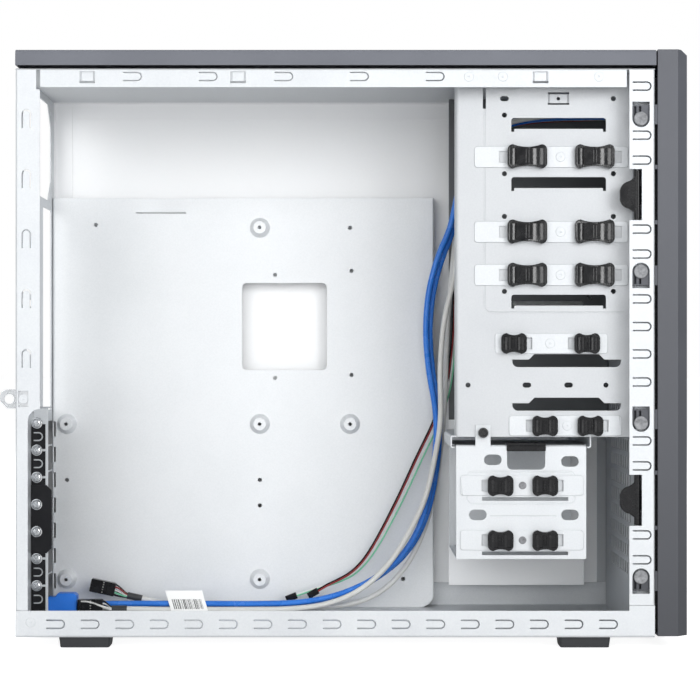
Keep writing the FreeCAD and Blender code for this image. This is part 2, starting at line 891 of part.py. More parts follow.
def front_panel():
    body = new_body("front_panel")
    section = plan_sketch(body, deck)
    rim_near = near_wall + S.front_rim
    rim_far = far_wall - S.front_rim
    flange_end = behind_front(S.front_flange)
    fold(section, [(flange_end, near_wall), (front, near_wall), (front, rim_near), (front_wall, rim_near),
                   (front_wall, rim_far), (front, rim_far), (front, far_wall), (flange_end, far_wall)],
         S.steel, [S.bend] * 6)
    pad(body, section, ceiling - deck)
    clear_bottom_flanges(body, flange_end - S.steel, front + S.steel)
    tab = plan_sketch(body, floor + S.bottom_flange + S.flange_tab + S.seam)
    rectangle(tab, flange_end - S.steel, near, front + S.steel, near_wall + S.steel + S.seam)
    pocket(body, tab, S.flange_tab + S.steel)

    for heights in FRONT_FINGER_LEVELS:
        fingers = side_sketch(body, near_wall)
        for height in heights:
            finger_along(fingers, behind_front(S.front_finger_start), level(as_size(height)))
        pocket(body, fingers, S.steel * 2)

    # Windows over the bezel hooks, round at one end, and the notches for the bezel latches
    windows = side_sketch(body, near)
    right = behind_front(S.hook_window_inset)
    left = right - S.hook_window_width
    half = S.hook_window_width / 2
    for height, round_end in HOOK_WINDOW_LEVELS:
        low = level(as_size(height))
        high = low + S.hook_window_height
        if round_end == "low":
            outline(windows, (right, low + half), (right, high), (left, high), (left, low + half),
                    (right, low + half, half, LEFT))
        else:
            outline(windows, (left, high - half), (left, low), (right, low), (right, high - half),
                    (left, high - half, half, LEFT))
    for low in (S.upper_latch_level, S.lower_latch_level):
        rectangle(windows, flange_end - S.steel, level(low),
                  flange_end + S.latch_notch_depth, level(low + S.latch_notch_height))
    pocket(body, windows, S.steel * 3)

    # Ways through the front rim for the bezel ears and hooks
    ways = end_sketch(body, front + S.steel)
    way_near = near_wall + S.steel * 2
    way_far = rim_near - S.steel * 2
    for low in (S.upper_latch_level, S.lower_latch_level):
        rectangle(ways, way_near, level(low) - S.ear_thickness - S.play,
                  way_far, level(low + S.latch_notch_height) + S.ear_thickness + S.play)
    for height, round_end in HOOK_WINDOW_LEVELS:
        rectangle(ways, way_near, level(as_size(height)) + S.steel, way_far,
                  level(as_size(height)) + S.hook_window_height - S.steel)
    pocket(body, ways, S.steel * 3)

    # Drive bays and the way for the front leads through the wall
    bays = end_sketch(body, front_wall + S.steel)
    half = S.bay_opening_width / 2
    bays_top = S.bay_level + S.bay_pitch * 2 + S.bay_opening_height
    rectangle(bays, -half, level(S.bay_level), half, level(bays_top))
    half = S.small_bay_width / 2
    rectangle(bays, S.small_bay_centre - half, level(S.small_bay_level),
              S.small_bay_centre + half, level(S.small_bay_level + S.small_bay_height))
    half = S.io_bar_width / 2 + S.lead_room
    rectangle(bays, S.io_bar_centre - half, level(S.io_bar_level),
              S.io_bar_centre + half, level(S.io_bar_level + S.io_bar_height))
    pocket(body, bays, S.steel * 3)

    holes = end_sketch(body, front_wall + S.steel)
    first_y = S.vent_hole_pitch * -4.5
    rectangle(holes, first_y, level(S.vent_level), first_y + S.vent_hole, level(S.vent_level) + S.vent_hole)
    first = pocket(body, holes, S.steel * 3)
    grid_of(body, first, S.vent_hole_pitch * 8, 9, S.vent_hole_pitch * 9, 10)
    return keep("front_panel", body)


def strap(body, left, right, y, low, high, gap_below, gap_above):
    """Window in a sheet with its near face at y, and the strap that is pressed in behind it."""
    window = side_sketch(body, y)
    rectangle(window, left, low, right, high)
    pocket(body, window, S.steel * 2)
    press = S.bridge_lift
    section = plan_sketch(body, low + gap_below)
    outline(section, (left, y), (left + press, y + press), (right - press, y + press), (right, y),
            (right, y + S.steel), (right - press, y + press + S.steel), (left + press, y + press + S.steel),
            (left, y + S.steel))
    pad(body, section, high - low - gap_below - gap_above)


def top_panel():
    body = new_body("top_panel")
    section = end_sketch(body, rear)
    low = roof - S.top_rail
    fold(section, [(far_wall, low), (far_wall, roof), (near_wall, roof), (near_wall, low)], S.steel,
         [S.bend, S.bend])
    pad(body, section, S.chassis_length)
    ends = side_sketch(body, near - S.steel)
    rectangle(ends, rear - S.steel, low - S.steel, from_rear(S.rail_rear_gap), ceiling)
    rectangle(ends, behind_front(S.rail_front_gap), low - S.steel, front + S.steel, ceiling)
    pocket(body, ends, S.case_width + S.steel * 2)
    cut = side_sketch(body, near_wall)
    finger_along(cut, from_rear(S.top_finger_start), level(S.top_finger_level))
    first = pocket(body, cut, S.steel * 2)
    row_of(body, first, "X_Axis", S.top_finger_pitch * 4, 5)
    # Straps that the hooks of a side panel slide behind
    for distance in (S.bridge_a, S.bridge_b, S.bridge_c):
        left = from_rear(distance) - S.bridge_length / 2
        strap_low = level(S.bridge_level)
        strap(body, left, left + S.bridge_length, near_wall, strap_low, strap_low + S.bridge_height,
              S.bridge_gap, as_size(0.0))
    return keep("top_panel", body)


def top_cover():
    body = new_body("top_cover")
    low = roof + S.cover_gap
    top = low + S.cover_height
    section = end_sketch(body, rear)
    fold(section, [(far, low), (far, top), (near, top), (near, low)], S.cover_wall,
         [S.cover_edge, S.cover_edge])
    length = S.chassis_length + S.cover_overhang
    pad(body, section, length)
    inset = S.cover_wall / 2
    for x in (rear, rear + length - S.cover_wall):
        end = end_sketch(body, x)
        rectangle(end, near + inset, low, far - inset, top - S.cover_edge)
        outline(end, (near + S.cover_edge, top - S.cover_edge), (far - S.cover_edge, top - S.cover_edge),
                (far - S.cover_edge, top - inset), (near + S.cover_edge, top - inset))
        pad(body, end, S.cover_wall)
    for place in (-1, 0, 1):
        rib = end_sketch(body, rear + S.cover_wall / 2)
        middle = S.cover_rib_spread * place if place else as_size(0.0)
        rectangle(rib, middle - inset, roof, middle + inset, top - inset)
        pad(body, rib, length - S.cover_wall)
    return keep("top_cover", body)


def right_side_panel():
    body = new_body("right_side_panel")
    section = end_sketch(body, rear)
    lip = roof + S.steel + S.seam / 2
    fold(section, [(far, floor + S.seam), (far, lip), (far - S.side_lip, lip)], S.steel, [S.bend])
    pad(body, section, S.chassis_length)
    return keep("right_side_panel", body)


def motherboard_tray():
    body = new_body("motherboard_tray")
    start = rear + S.steel + S.seam
    end = start + S.tray_length
    flange = far_wall - S.steel - S.bend
    section = plan_sketch(body, deck)
    fold(section, [(start, flange), (start, tray), (end, tray), (end, flange)], S.steel, [S.bend, S.bend])
    pad(body, section, S.tray_height)
    top = deck + S.tray_height

    cut = side_sketch(body, tray)
    rounded(cut, from_rear(S.cooler_start), level(S.cooler_level),
            from_rear(S.cooler_start + S.cooler_length), level(S.cooler_level + S.cooler_height),
            S.cooler_corner)
    notch = from_rear(S.ledge_start)
    rectangle(cut, notch, top - S.ledge_depth, notch + S.ledge_length, top + S.steel)
    corner = S.tray_corner
    outline(cut, (end - corner, deck), (end - corner, deck - S.steel), (end + S.steel, deck - S.steel),
            (end + S.steel, deck + corner), (end, deck + corner), (end - corner, deck, corner, RIGHT))
    pocket(body, cut, S.tray_standoff)
    # The top edge is pressed back over the notch, with sloping ends
    pressed = plan_sketch(body, top - S.ledge_depth + S.groove)
    slope_start, slope_end = notch + S.ledge_slope, notch + S.ledge_length - S.ledge_slope
    outline(pressed, (notch, tray), (slope_start, tray + S.ledge_press), (slope_end, tray + S.ledge_press),
            (notch + S.ledge_length, tray), (notch + S.ledge_length, tray + S.steel),
            (slope_end, tray + S.ledge_press + S.steel), (slope_start, tray + S.ledge_press + S.steel),
            (notch, tray + S.steel))
    pad(body, pressed, S.ledge_depth - S.groove)
    # Slits for the tongues of the slot covers
    slits = side_sketch(body, tray)
    low = level(S.slot_level) - S.tongue_drop - S.tongue_height / 2
    rectangle(slits, start - S.steel, low, start + S.tongue_slit, low + S.tongue_height)
    first = pocket(body, slits, S.tongue_slit)
    row_of(body, first, "Z_Axis", S.slot_pitch * (SLOT_COUNT - 1), SLOT_COUNT)

    columns = [from_rear(S.board_first_column), from_rear(S.board_first_column + S.board_column_pitch),
               from_rear(S.board_first_column + S.board_third_column)]
    rows = [level(S.board_low_row), level(S.board_middle_row), level(S.board_top_row)]
    places = [(columns[1], rows[2]), (columns[0], rows[1]), (columns[1], rows[1]), (columns[2], rows[1]),
              (columns[0], rows[0]), (columns[1], rows[0])]
    openings = side_sketch(body, tray)
    for x, z in places:
        circle(openings, x, z, S.boss_base - S.steel)
    for column, shift, row, rise in TRAY_HOLES:
        circle(openings, columns[column] + shift, rows[row] + rise, S.tray_small_hole)
    pocket(body, openings, S.steel * 2)

    # Drawn standoffs: a hollow cone with a flat, pierced top
    for x, z in places:
        boss = plan_sketch(body, z)
        top_face = tray - S.boss_height
        outline(boss, (x + S.boss_hole, top_face), (x + S.boss_top, top_face), (x + S.boss_base, tray),
                (x + S.boss_base, tray + S.steel), (x + S.boss_base - S.steel * 1.4, tray + S.steel),
                (x + S.boss_top - S.steel * 1.2, top_face + S.steel), (x + S.boss_hole, top_face + S.steel))
        axis = boss.addGeometry(Part.LineSegment(FreeCAD.Vector(x.value, top_face.value, 0),
                                                 FreeCAD.Vector(x.value, tray.value, 0)), True)
        add_rules(boss, place_rules(axis, 1, x, top_face) + place_rules(axis, 2, x, tray))
        turned = body.newObject("PartDesign::Revolution", "standoff")
        turned.Profile = boss
        turned.ReferenceAxis = (boss, ["Axis0"])
        turned.Angle = 360
    return keep("motherboard_tray", body)


def lock_slots(sketch, clip_places, middle, spare=0):
    """Slots that let each clip slide from its rest place through its travel, with spare length beyond it."""
    half_height = S.clip_neck_height / 2 + S.play
    half_neck = S.clip_neck_length / 2 + S.play
    for place, heading, travel in clip_places:
        end = travel + spare
        low, high = (place - end, place) if heading < 0 else (place, place + end)
        rectangle(sketch, low - half_neck, middle - half_height, high + half_neck, middle + half_height)


def lock_row(height, rear_clip, front_clip, outward, travel):
    heading = 1 if outward else -1
    rear_slide = (behind_front(rear_clip), -heading, travel)
    front_slide = (behind_front(front_clip), heading, travel)
    return level(height), (rear_slide, front_slide)


LARGE_ROWS = [lock_row(height, S.large_clip_rear, S.large_clip_front, True, S.large_travel)
              for height in (S.lock_a_level, S.lock_b_level, S.lock_c_level)]
ROW_D = lock_row(S.lock_d_level, S.lock_d_rear, S.lock_d_front, False, S.small_travel)
ROW_E = lock_row(S.lock_e_level, S.lock_e_rear, S.lock_e_front, True, S.small_travel)
DISK_ROWS = [lock_row(height, S.disk_clip_rear, S.disk_clip_front, True, S.small_travel)
             for height in (S.disk_lock_a_level, S.disk_lock_b_level)]


def cage_near_plate():
    body = new_body("cage_near_plate")
    start = behind_front(S.cage_reach)
    section = plan_sketch(body, level(S.cage_level))
    fold(section, [(start, cage_near + S.cage_hem), (start, cage_near), (front_wall_back, cage_near),
                   (front_wall_back, cage_near + S.cage_front_flange)], S.steel, [S.cage_bead, S.bend])
    pad(body, section, ceiling - level(S.cage_level))
    # The hem along the rear edge stops above the shelf
    relief = side_sketch(body, cage_near_back)
    rectangle(relief, start - S.steel, level(S.cage_level) - S.steel, start + S.cage_bead + S.steel,
              level(S.cage_level) + S.steel + S.play)
    pocket(body, relief, S.cage_hem + S.steel)

    locks = side_sketch(body, cage_near)
    for middle, clips in (*LARGE_ROWS, ROW_D, ROW_E):
        lock_slots(locks, clips, middle)
    pocket(body, locks, S.steel * 2)

    # Long openings between the locks: the large ones step down at both ends, the small ones step up
    openings = side_sketch(body, cage_near)
    left = behind_front(S.large_slot_start)
    right = left + S.large_slot_length
    leg = S.large_slot_leg
    for height in (S.large_slot_a, S.large_slot_b, S.large_slot_c):
        low = level(height)
        high = low + S.large_slot_height
        outline(openings, (left, low), (left + leg, low), (left + leg, low + leg),
                (right - leg, low + leg), (right - leg, low), (right, low), (right, high - leg),
                (right - leg, high, leg, LEFT), (left + leg, high), (left, high - leg, leg, LEFT))
    left = behind_front(S.small_slot_start)
    right = left + S.small_slot_length
    step, corner = S.small_slot_step, S.small_slot_corner
    for height in (S.small_slot_a, S.small_slot_b):
        low = level(height)
        high = low + S.small_slot_height
        outline(openings, (left + corner, low), (right - corner, low), (right, low + corner, corner, LEFT),
                (right, high - corner), (right - step, high - corner), (right - step - corner, high),
                (left + step + corner, high), (left + step, high - corner), (left, high - corner),
                (left, low + corner), (left + corner, low, corner, LEFT))
    pocket(body, openings, S.steel * 2)

    holes = side_sketch(body, cage_near)
    hole_front = behind_front(S.drive_hole_front)
    hole_rear = hole_front - S.drive_hole_pitch
    for height in (S.drive_hole_a, S.drive_hole_b, S.drive_hole_c):
        circle(holes, hole_front, level(height), S.drive_hole)
        circle(holes, hole_rear, level(height), S.drive_hole)
    top_row = level(S.drive_hole_a + S.drive_slot_rise)
    half, height = S.drive_slot / 2, S.drive_hole * 2
    circle(holes, hole_rear, level(S.drive_hole_a + S.drive_hole_rise), S.drive_hole)
    circle(holes, hole_front, top_row, S.drive_hole)
    slot(holes, hole_rear - half, hole_rear + half, top_row, height)
    low_row = level(S.small_slot_a) - S.low_hole_drop
    circle(holes, start + S.low_hole_inset, low_row, S.drive_hole)
    for distance in (S.low_slot_a, S.low_slot_b):
        slot_left = left + distance
        slot(holes, slot_left, slot_left + S.drive_slot, low_row, height)
    circle(holes, hole_front - S.low_hole_shift, low_row, S.drive_hole)
    circle(holes, behind_front(S.disk_tab_start) + S.disk_tab_width / 2, level(S.thumbscrew_level),
           S.thumbscrew_shank + S.play)
    slit = behind_front(S.cage_slit_start)
    rectangle(holes, slit, level(S.cage_slit_low), slit + S.cage_slit_width,
              level(S.cage_slit_low + S.cage_slit_height))
    pocket(body, holes, S.steel * 2)

    # Pressed line that stiffens the plate, from the slit down and along under the large bays
    line = side_sketch(body, cage_near)
    left, right = behind_front(S.groove_start), behind_front(S.groove_end)
    low, high = level(S.groove_low), level(S.cage_slit_low) - S.groove
    corner = S.groove_corner
    outline(line, (left, high), (left, low + corner), (left + corner, low, corner, LEFT), (right, low),
            (right, low + S.groove), (left + corner, low + S.groove),
            (left + S.groove, low + corner, corner - S.groove, RIGHT), (left + S.groove, high))
    pocket(body, line, S.groove_depth)

    strap_left = behind_front(S.cage_bridge_start)
    strap_right = strap_left + S.cage_bridge_length
    strap_low = level(S.cage_bridge_low)
    strap(body, strap_left, strap_right, cage_near, strap_low, strap_low + S.cage_bridge_height,
          S.cage_bridge_gap, S.cage_bridge_gap)
    hole = side_sketch(body, cage_near)
    circle(hole, (strap_left + strap_right) / 2, strap_low + S.cage_bridge_height / 2, S.cage_bridge_hole)
    pocket(body, hole, S.bridge_lift + S.steel * 2)
    return keep("cage_near_plate", body)


def cage_far_plate():
    body = new_body("cage_far_plate")
    start = behind_front(S.cage_far_reach)
    section = plan_sketch(body, level(S.cage_far_level))
    fold(section, [(start, cage_far), (front_wall_back, cage_far),
                   (front_wall_back, cage_far + S.cage_front_flange)], S.steel, [S.bend])
    pad(body, section, ceiling - level(S.cage_far_level))
    trim = side_sketch(body, cage_far - S.steel)
    rectangle(trim, behind_front(S.cage_far_lower_gap), floor, front, level(S.cage_level))
    pocket(body, trim, S.cage_front_flange + S.steel * 3)
    openings = side_sketch(body, cage_far)
    left = behind_front(S.large_slot_start)
    for height in (S.large_slot_a, S.large_slot_b, S.large_slot_c):
        low = level(height)
        rounded(openings, left, low, left + S.large_slot_length, low + S.large_slot_height, S.drive_hole)
    hole_front = behind_front(S.drive_hole_front)
    for height in (S.drive_hole_a, S.drive_hole_b, S.drive_hole_c):
        circle(openings, hole_front, level(height), S.drive_hole)
        circle(openings, hole_front - S.drive_hole_pitch, level(height), S.drive_hole)
    pocket(body, openings, S.steel * 2)
    return keep("cage_far_plate", body)


# The hard-disk cage hangs by the side lips of its top plate on the turned-in feet of the shelf
disk_rear = behind_front(S.disk_start)
disk_front = disk_rear + S.disk_length
disk_top = level(S.disk_low + S.disk_height)
lip_rear = disk_rear - S.disk_lip
lip_front = disk_front + S.disk_lip
foot_top = disk_top - S.steel - S.play


def cage_shelf():
    body = new_body("cage_shelf")
    left = lip_rear - S.rail_gap - S.steel
    right = lip_front + S.rail_gap + S.steel
    foot_low = foot_top - S.steel
    top = level(S.cage_level) + S.steel
    section = side_sketch(body, cage_near_back)
    fold(section, [(right - S.rail_foot, foot_low), (right, foot_low), (right, top), (left, top),
                   (left, foot_low), (left + S.rail_foot, foot_low)], S.steel, [S.bend] * 4)
    pad(body, section, S.cage_inner_width, reverse=True)
    # The rear corner behind the hard-disk cage is left free for the leads
    corner = plan_sketch(body, top + S.steel)
    rectangle(corner, left - S.steel, disk_far + S.steel, disk_rear, cage_far + S.steel)
    pocket(body, corner, top - foot_low + S.steel * 2)
    return keep("cage_shelf", body)


def lock_strip(name, face_y, start, length, middle, height, clips, spare=0):
    body = new_body(name)
    sketch = side_sketch(body, face_y)
    left = behind_front(start)
    rounded(sketch, left, middle - height / 2, left + length, middle + height / 2, S.cage_bead)
    pad(body, sketch, S.strip, reverse=True)
    slots = side_sketch(body, face_y)
    lock_slots(slots, clips, middle, spare)
    pocket(body, slots, S.strip * 2)
    return body


def bay_lock_strips():
    strips = []
    for number, (middle, clips) in enumerate(LARGE_ROWS, start=1):
        strips.append(lock_strip(f"large_strip_{number}", strip_face, S.large_strip_start,
                                 S.large_strip_length, middle, S.large_strip_height, clips,
                                 S.large_strip_window))
    small_rows = (("strip_d", S.lock_d_start, ROW_D), ("strip_e", S.lock_e_start, ROW_E))
    for name, start, (middle, clips) in small_rows:
        strips.append(lock_strip(name, strip_face, start, S.small_strip_length, middle,
                                 S.small_strip_height, clips))
    return group("bay_lock_strips", strips)


def hdd_lock_strips():
    strips = []
    for number, (middle, clips) in enumerate(DISK_ROWS, start=1):
        strips.append(lock_strip(f"disk_strip_{number}", disk_strip_face, S.disk_strip_start,
                                 S.disk_strip_length, middle, S.small_strip_height, clips))
    return group("hdd_lock_strips", strips)


def lock_clip(label, place, middle, strip_plane, length, height, sweep, dish):
    """Sliding thumb clip: waisted head with dishes and ribs, neck through the slots, foot behind."""
    body = new_body(label)
    back = strip_plane - S.play
    front_face = back - S.clip_depth
    half, tall, corner = length / 2, height / 2, S.clip_corner
    head = side_sketch(body, back)
    outline(head, (place - half + corner, middle - tall),
            (place + half - corner, middle - tall, sweep, RIGHT),
            (place + half, middle - tall + corner, corner, LEFT),
            (place + half, middle + tall - corner), (place + half - corner, middle + tall, corner, LEFT),
            (place - half + corner, middle + tall, sweep, RIGHT),
            (place - half, middle + tall - corner, corner, LEFT),
            (place - half, middle - tall + corner), (place - half + corner, middle - tall, corner, LEFT))
    pad(body, head, S.clip_depth)
    # Dishes for the thumb on both sides of the middle ridge, inside the rim
    rim, ridge = S.clip_rim, S.clip_ridge
    dishes = plan_sketch(body, middle + tall - rim * 2)
    for left, right in ((place - half + rim, place - ridge), (place + ridge, place + half - rim)):
        outline(dishes, (left, front_face - S.steel), (right, front_face - S.steel), (right, front_face),
                (left, front_face, dish, LEFT))
    pocket(body, dishes, height - rim * 4)
    ribs = side_sketch(body, front_face)
    rib_reach = tall - rim * 3
    for left in (place - ridge, place + ridge - S.clip_rib):
        rectangle(ribs, left, middle - rib_reach, left + S.clip_rib, middle + rib_reach)
    pad(body, ribs, S.clip_rib_rise)
    neck = side_sketch(body, back)
    rectangle(neck, place - S.clip_neck_length / 2, middle - S.clip_neck_height / 2,
              place + S.clip_neck_length / 2, middle + S.clip_neck_height / 2)
    neck_length = S.strip + S.steel + S.play * 2
    pad(body, neck, neck_length, reverse=True)
    foot = side_sketch(body, back + neck_length)
    margin = S.clip_foot_margin
    rectangle(foot, place - S.clip_neck_length / 2, middle - S.clip_neck_height / 2 - margin,
              place + S.clip_neck_length / 2, middle + S.clip_neck_height / 2 + margin)
    pad(body, foot, S.clip_foot, reverse=True)
    return keep(label, body)


def lock_clips():
    large = (S.large_clip_length, S.large_clip_height, S.large_clip_sweep, S.large_dish)
    small = (S.small_clip_length, S.small_clip_height, S.small_clip_sweep, S.small_dish)
    rows = [(name, row, strip_face, large)
            for name, row in zip(("bay_clip_a", "bay_clip_b", "bay_clip_c"), LARGE_ROWS)]
    rows += [(name, row, strip_face, small) for name, row in (("bay_clip_d", ROW_D), ("bay_clip_e", ROW_E))]
    rows += [(name, row, disk_strip_face, small)
             for name, row in zip(("disk_clip_a", "disk_clip_b"), DISK_ROWS)]
    for name, (middle, clips), strip_plane, sizes in rows:
        for end, clip in zip(("rear", "front"), clips):
            lock_clip(f"{name}_{end}", clip[0], middle, strip_plane, *sizes)


def hdd_cage():
    body = new_body("hdd_cage")
    low = level(S.disk_low)
    section = end_sketch(body, disk_rear)
    fold(section, [(disk_back + S.play, low), (disk_far, low), (disk_far, disk_top), (disk_near, disk_top),
                   (disk_near, low)], S.steel, [S.bend] * 3)
    pad(body, section, S.disk_length)
    block(body, lip_rear, lip_front, disk_near + S.disk_lip_start, disk_far - S.steel * 2,
          disk_top - S.steel, disk_top)
    tab_left = behind_front(S.disk_tab_start)
    tab = side_sketch(body, disk_near)
    rectangle(tab, tab_left, disk_top - S.steel * 4, tab_left + S.disk_tab_width, level(S.disk_tab_top))
    pad(body, tab, S.steel, reverse=True)

    cuts = side_sketch(body, disk_near)
    for middle, clips in DISK_ROWS:
        lock_slots(cuts, clips, middle)
    gap = behind_front(S.finger_gap_start)
    gap_low = level(S.finger_gap_level)
    corner = S.clip_corner
    outline(cuts, (gap + corner, gap_low), (gap + S.finger_gap_length - corner, gap_low),
            (gap + S.finger_gap_length, gap_low + corner, corner, LEFT),
            (gap + S.finger_gap_length, disk_top - S.steel * 2), (gap, disk_top - S.steel * 2),
            (gap, gap_low + corner), (gap + corner, gap_low, corner, LEFT))
    circle(cuts, tab_left + S.disk_tab_width / 2, level(S.thumbscrew_level), S.thumbscrew_shank + S.play)
    for distance, height in DISK_SLOTS:
        left = disk_rear + distance
        slot(cuts, left, left + S.disk_slot_length, level(as_size(height)) + S.disk_slot_height / 2,
             S.disk_slot_height)
    window = disk_rear + S.disk_window_start
    for height in (S.disk_window_a, S.disk_window_b):
        rectangle(cuts, window, level(height), window + S.disk_window_length,
                  level(height + S.disk_window_height))
    pocket(body, cuts, S.steel * 2)

    # Pressed lines round the upper lock and between the lower finger slots
    lines = side_sketch(body, disk_near)
    left, low = disk_rear + S.disk_panel_start, level(S.disk_panel_low)
    right, high = left + S.disk_panel_length, low + S.disk_panel_height
    groove = S.groove
    rounded(lines, left, low, right, high, corner)
    rounded(lines, left + groove, low + groove, right - groove, high - groove, corner - groove)
    left, low = disk_rear + S.disk_line_start, level(S.disk_line_level)
    rectangle(lines, left, low, left + S.disk_line_length, low + groove)
    pocket(body, lines, S.groove_depth)
    return keep("hdd_cage", body)


def hdd_cage_grip():
    body = new_body("hdd_cage_grip")
    section = end_sketch(body, behind_front(S.finger_gap_start) - S.play)
    front_face = disk_near - S.grip_thickness
    top = disk_top + S.grip_thickness
    fold(section, [(disk_near, level(S.grip_level)), (disk_near, disk_top),
                   (disk_near + S.grip_leg, disk_top)], S.grip_thickness, [S.play])
    pad(body, section, S.finger_gap_length + S.play * 2)
    bead = end_sketch(body, behind_front(S.finger_gap_start) - S.play)
    rectangle(bead, front_face - S.steel, top - S.grip_height / 4, front_face + S.steel / 2, top)
    pad(body, bead, S.finger_gap_length + S.play * 2)
    return keep("hdd_cage_grip", body)


def hdd_thumbscrew():
    x = behind_front(S.disk_tab_start) + S.disk_tab_width / 2
    z = level(S.thumbscrew_level)
    head = cone_along_y("thumbscrew_head", x, disk_near - S.thumbscrew_head, z, S.thumbscrew_radius - S.play,
                        S.thumbscrew_radius, S.thumbscrew_head)
    shank = cylinder_along_y("thumbscrew_shank", x, disk_near, z, S.thumbscrew_shank,
                             S.disk_ahead + S.steel * 3)
    return keep("hdd_thumbscrew", joined("hdd_thumbscrew", head, shank))


def slot_screw_level(number):
    base = level(S.slot_level)
    return base + S.slot_pitch * number if number else base


def slot_shelf():
    body = new_body("slot_shelf")
    inner = rear + S.steel
    low, high = level(S.ledge_low), level(S.ledge_high)
    section = end_sketch(body, inner)
    fold(section, [(ledge + S.ledge_flange, high), (ledge, high), (ledge, low),
                   (ledge + S.ledge_flange, low)], S.steel, [S.bend, S.bend])
    pad(body, section, S.ledge_reach)
    way = side_sketch(body, ledge - S.steel)
    rectangle(way, inner - S.steel, low + S.steel * 2, inner + S.steel + S.bend + S.seam,
              high - S.steel * 2)
    pocket(body, way, S.steel * 3)
    holes = side_sketch(body, ledge - S.steel)
    circle(holes, from_rear(S.slot_screw_inset), slot_screw_level(0), S.slot_screw_shank)
    first = pocket(body, holes, S.steel * 3)
    row_of(body, first, "Z_Axis", S.slot_pitch * (SLOT_COUNT - 1), SLOT_COUNT)
    return keep("slot_shelf", body)


def slot_covers():
    """Covers with a tab on the shelf; each screw holds the tab in a notch in its upper edge."""
    covers = []
    inner = rear + S.steel
    screw_x = from_rear(S.slot_screw_inset)
    for number in range(SLOT_COUNT):
        body = new_body(f"slot_cover_{number + 1}")
        middle = slot_middle(number)
        section = plan_sketch(body, middle - S.slot_cover_width / 2)
        fold(section, [(inner, tray - S.boss_height), (inner, ledge - S.steel),
                       (inner + S.slot_cover_tab, ledge - S.steel)], S.steel, [S.bend])
        pad(body, section, S.slot_cover_width)
        cuts = side_sketch(body, ledge - S.steel * 2)
        circle(cuts, screw_x, slot_screw_level(number), S.slot_screw_shank)
        if number:
            circle(cuts, screw_x, slot_screw_level(number - 1), S.slot_screw_shank)
        finger_along(cuts, inner + S.steel + S.bend, middle, S.cover_finger)
        pocket(body, cuts, S.steel * 3)
        covers.append(body)
    return group("slot_covers", covers)


def slot_bracket():
    body = new_body("slot_bracket")
    sketch = side_sketch(body, ledge - S.steel)
    left = rear + S.steel + S.seam
    right = left + S.bracket_reach
    low, high, corner = level(S.bracket_low), level(S.bracket_high), S.bracket_corner
    outline(sketch, (left, low), (right - corner, low), (right, low + corner), (right, high - corner),
            (right - corner, high), (left, high))
    pad(body, sketch, S.bracket_thickness)
    holes = side_sketch(body, ledge - S.steel * 3)
    for number in BRACKET_SLOTS:
        circle(holes, from_rear(S.slot_screw_inset), slot_screw_level(number), S.slot_screw_shank)
    pocket(body, holes, S.steel * 3)
    return keep("slot_bracket", body)


def slot_screws():
    screws = []
    x = from_rear(S.slot_screw_inset)
    for number in range(SLOT_COUNT):
        z = slot_screw_level(number)
        seat = ledge - S.steel
        if number in BRACKET_SLOTS:
            seat = seat - S.bracket_thickness
        head = cone_along_y(f"screw_head_{number + 1}", x, seat - S.slot_screw_head, z,
                            S.slot_screw_crown, S.slot_screw_radius, S.slot_screw_head)
        shank = cylinder_along_y(f"screw_shank_{number + 1}", x, seat, z, S.slot_screw_shank,
                                 ledge + S.steel * 2 - seat)
        screws.append(joined(f"slot_screw_{number + 1}", head, shank))
    return group("slot_screws", screws)


def padlock_loop():
    body = new_body("padlock_loop")
    sketch = side_sketch(body, near_wall + S.steel)
    tip = rear - S.hasp_reach
    low, high = level(S.hasp_low), level(S.hasp_low + S.hasp_height)
    corner = S.hasp_reach / 2
    outline(sketch, (tip, low + corner), (tip + corner, low), (from_rear(S.hasp_base), low),
            (from_rear(S.hasp_base), high), (tip + corner, high), (tip, high - corner, corner, LEFT))
    pad(body, sketch, S.hasp_thickness, reverse=True)
    hole = side_sketch(body, near)
    circle(hole, rear - S.hasp_hole_reach, low + S.hasp_height / 2, S.hasp_hole)
    pocket(body, hole, S.hasp_thickness + S.steel * 3)
    return keep("padlock_loop", body)


def rivet(name, x, y, z):
    return cone_along_y(name, x, y - S.rivet_dome, z, S.rivet_crown, S.rivet_radius, S.rivet_dome)


def chassis_rivets():
    rail = level(as_size(TOP_RIVET_LEVEL))
    places = [(behind_front(as_size(distance)), near_wall, rail) for distance in TOP_RIVETS]
    places.append((from_rear(as_size(CORNER_RIVET)), near_wall, level(as_size(CORNER_RIVET))))
    places.append((from_rear(S.hasp_window_start) + S.hasp_window_width / 2, near_wall + S.steel,
                   level(S.hasp_low + S.hasp_height / 2)))
    for middle, clips in (*LARGE_ROWS, ROW_D, ROW_E):
        first, second = (clip[0] for clip in clips)
        places.append(((first + second) / 2, strip_face, middle))
    rivets = [rivet(f"rivet_{number}", *place) for number, place in enumerate(places, start=1)]
    return group("chassis_rivets", rivets)


def disk_rivets():
    rivets = []
    for number, (middle, clips) in enumerate(DISK_ROWS, start=1):
        first, second = (clip[0] for clip in clips)
        rivets.append(rivet(f"disk_rivet_{number}", (first + second) / 2, disk_strip_face, middle))
    return group("hdd_cage_rivets", rivets)


def rubber_feet():
    feet = []
    for x in (from_rear(S.foot_rear), behind_front(S.foot_front) - S.foot_length):
        for y in (near + S.foot_inset, far - S.foot_inset - S.foot_width):
            body = new_body(f"rubber_foot_{len(feet) + 1}")
            sketch = plan_sketch(body, floor)
            rounded(sketch, x, y, x + S.foot_length, y + S.foot_width, S.foot_corner)
            foot = pad(body, sketch, S.foot_height, reverse=True)
            foot.setExpression("TaperAngle", (-S.foot_slope).formula)
            feet.append(body)
    return group("rubber_feet", feet)


def bay_low(number):
    return level(S.bay_level) + S.bay_pitch * number if number else level(S.bay_level)


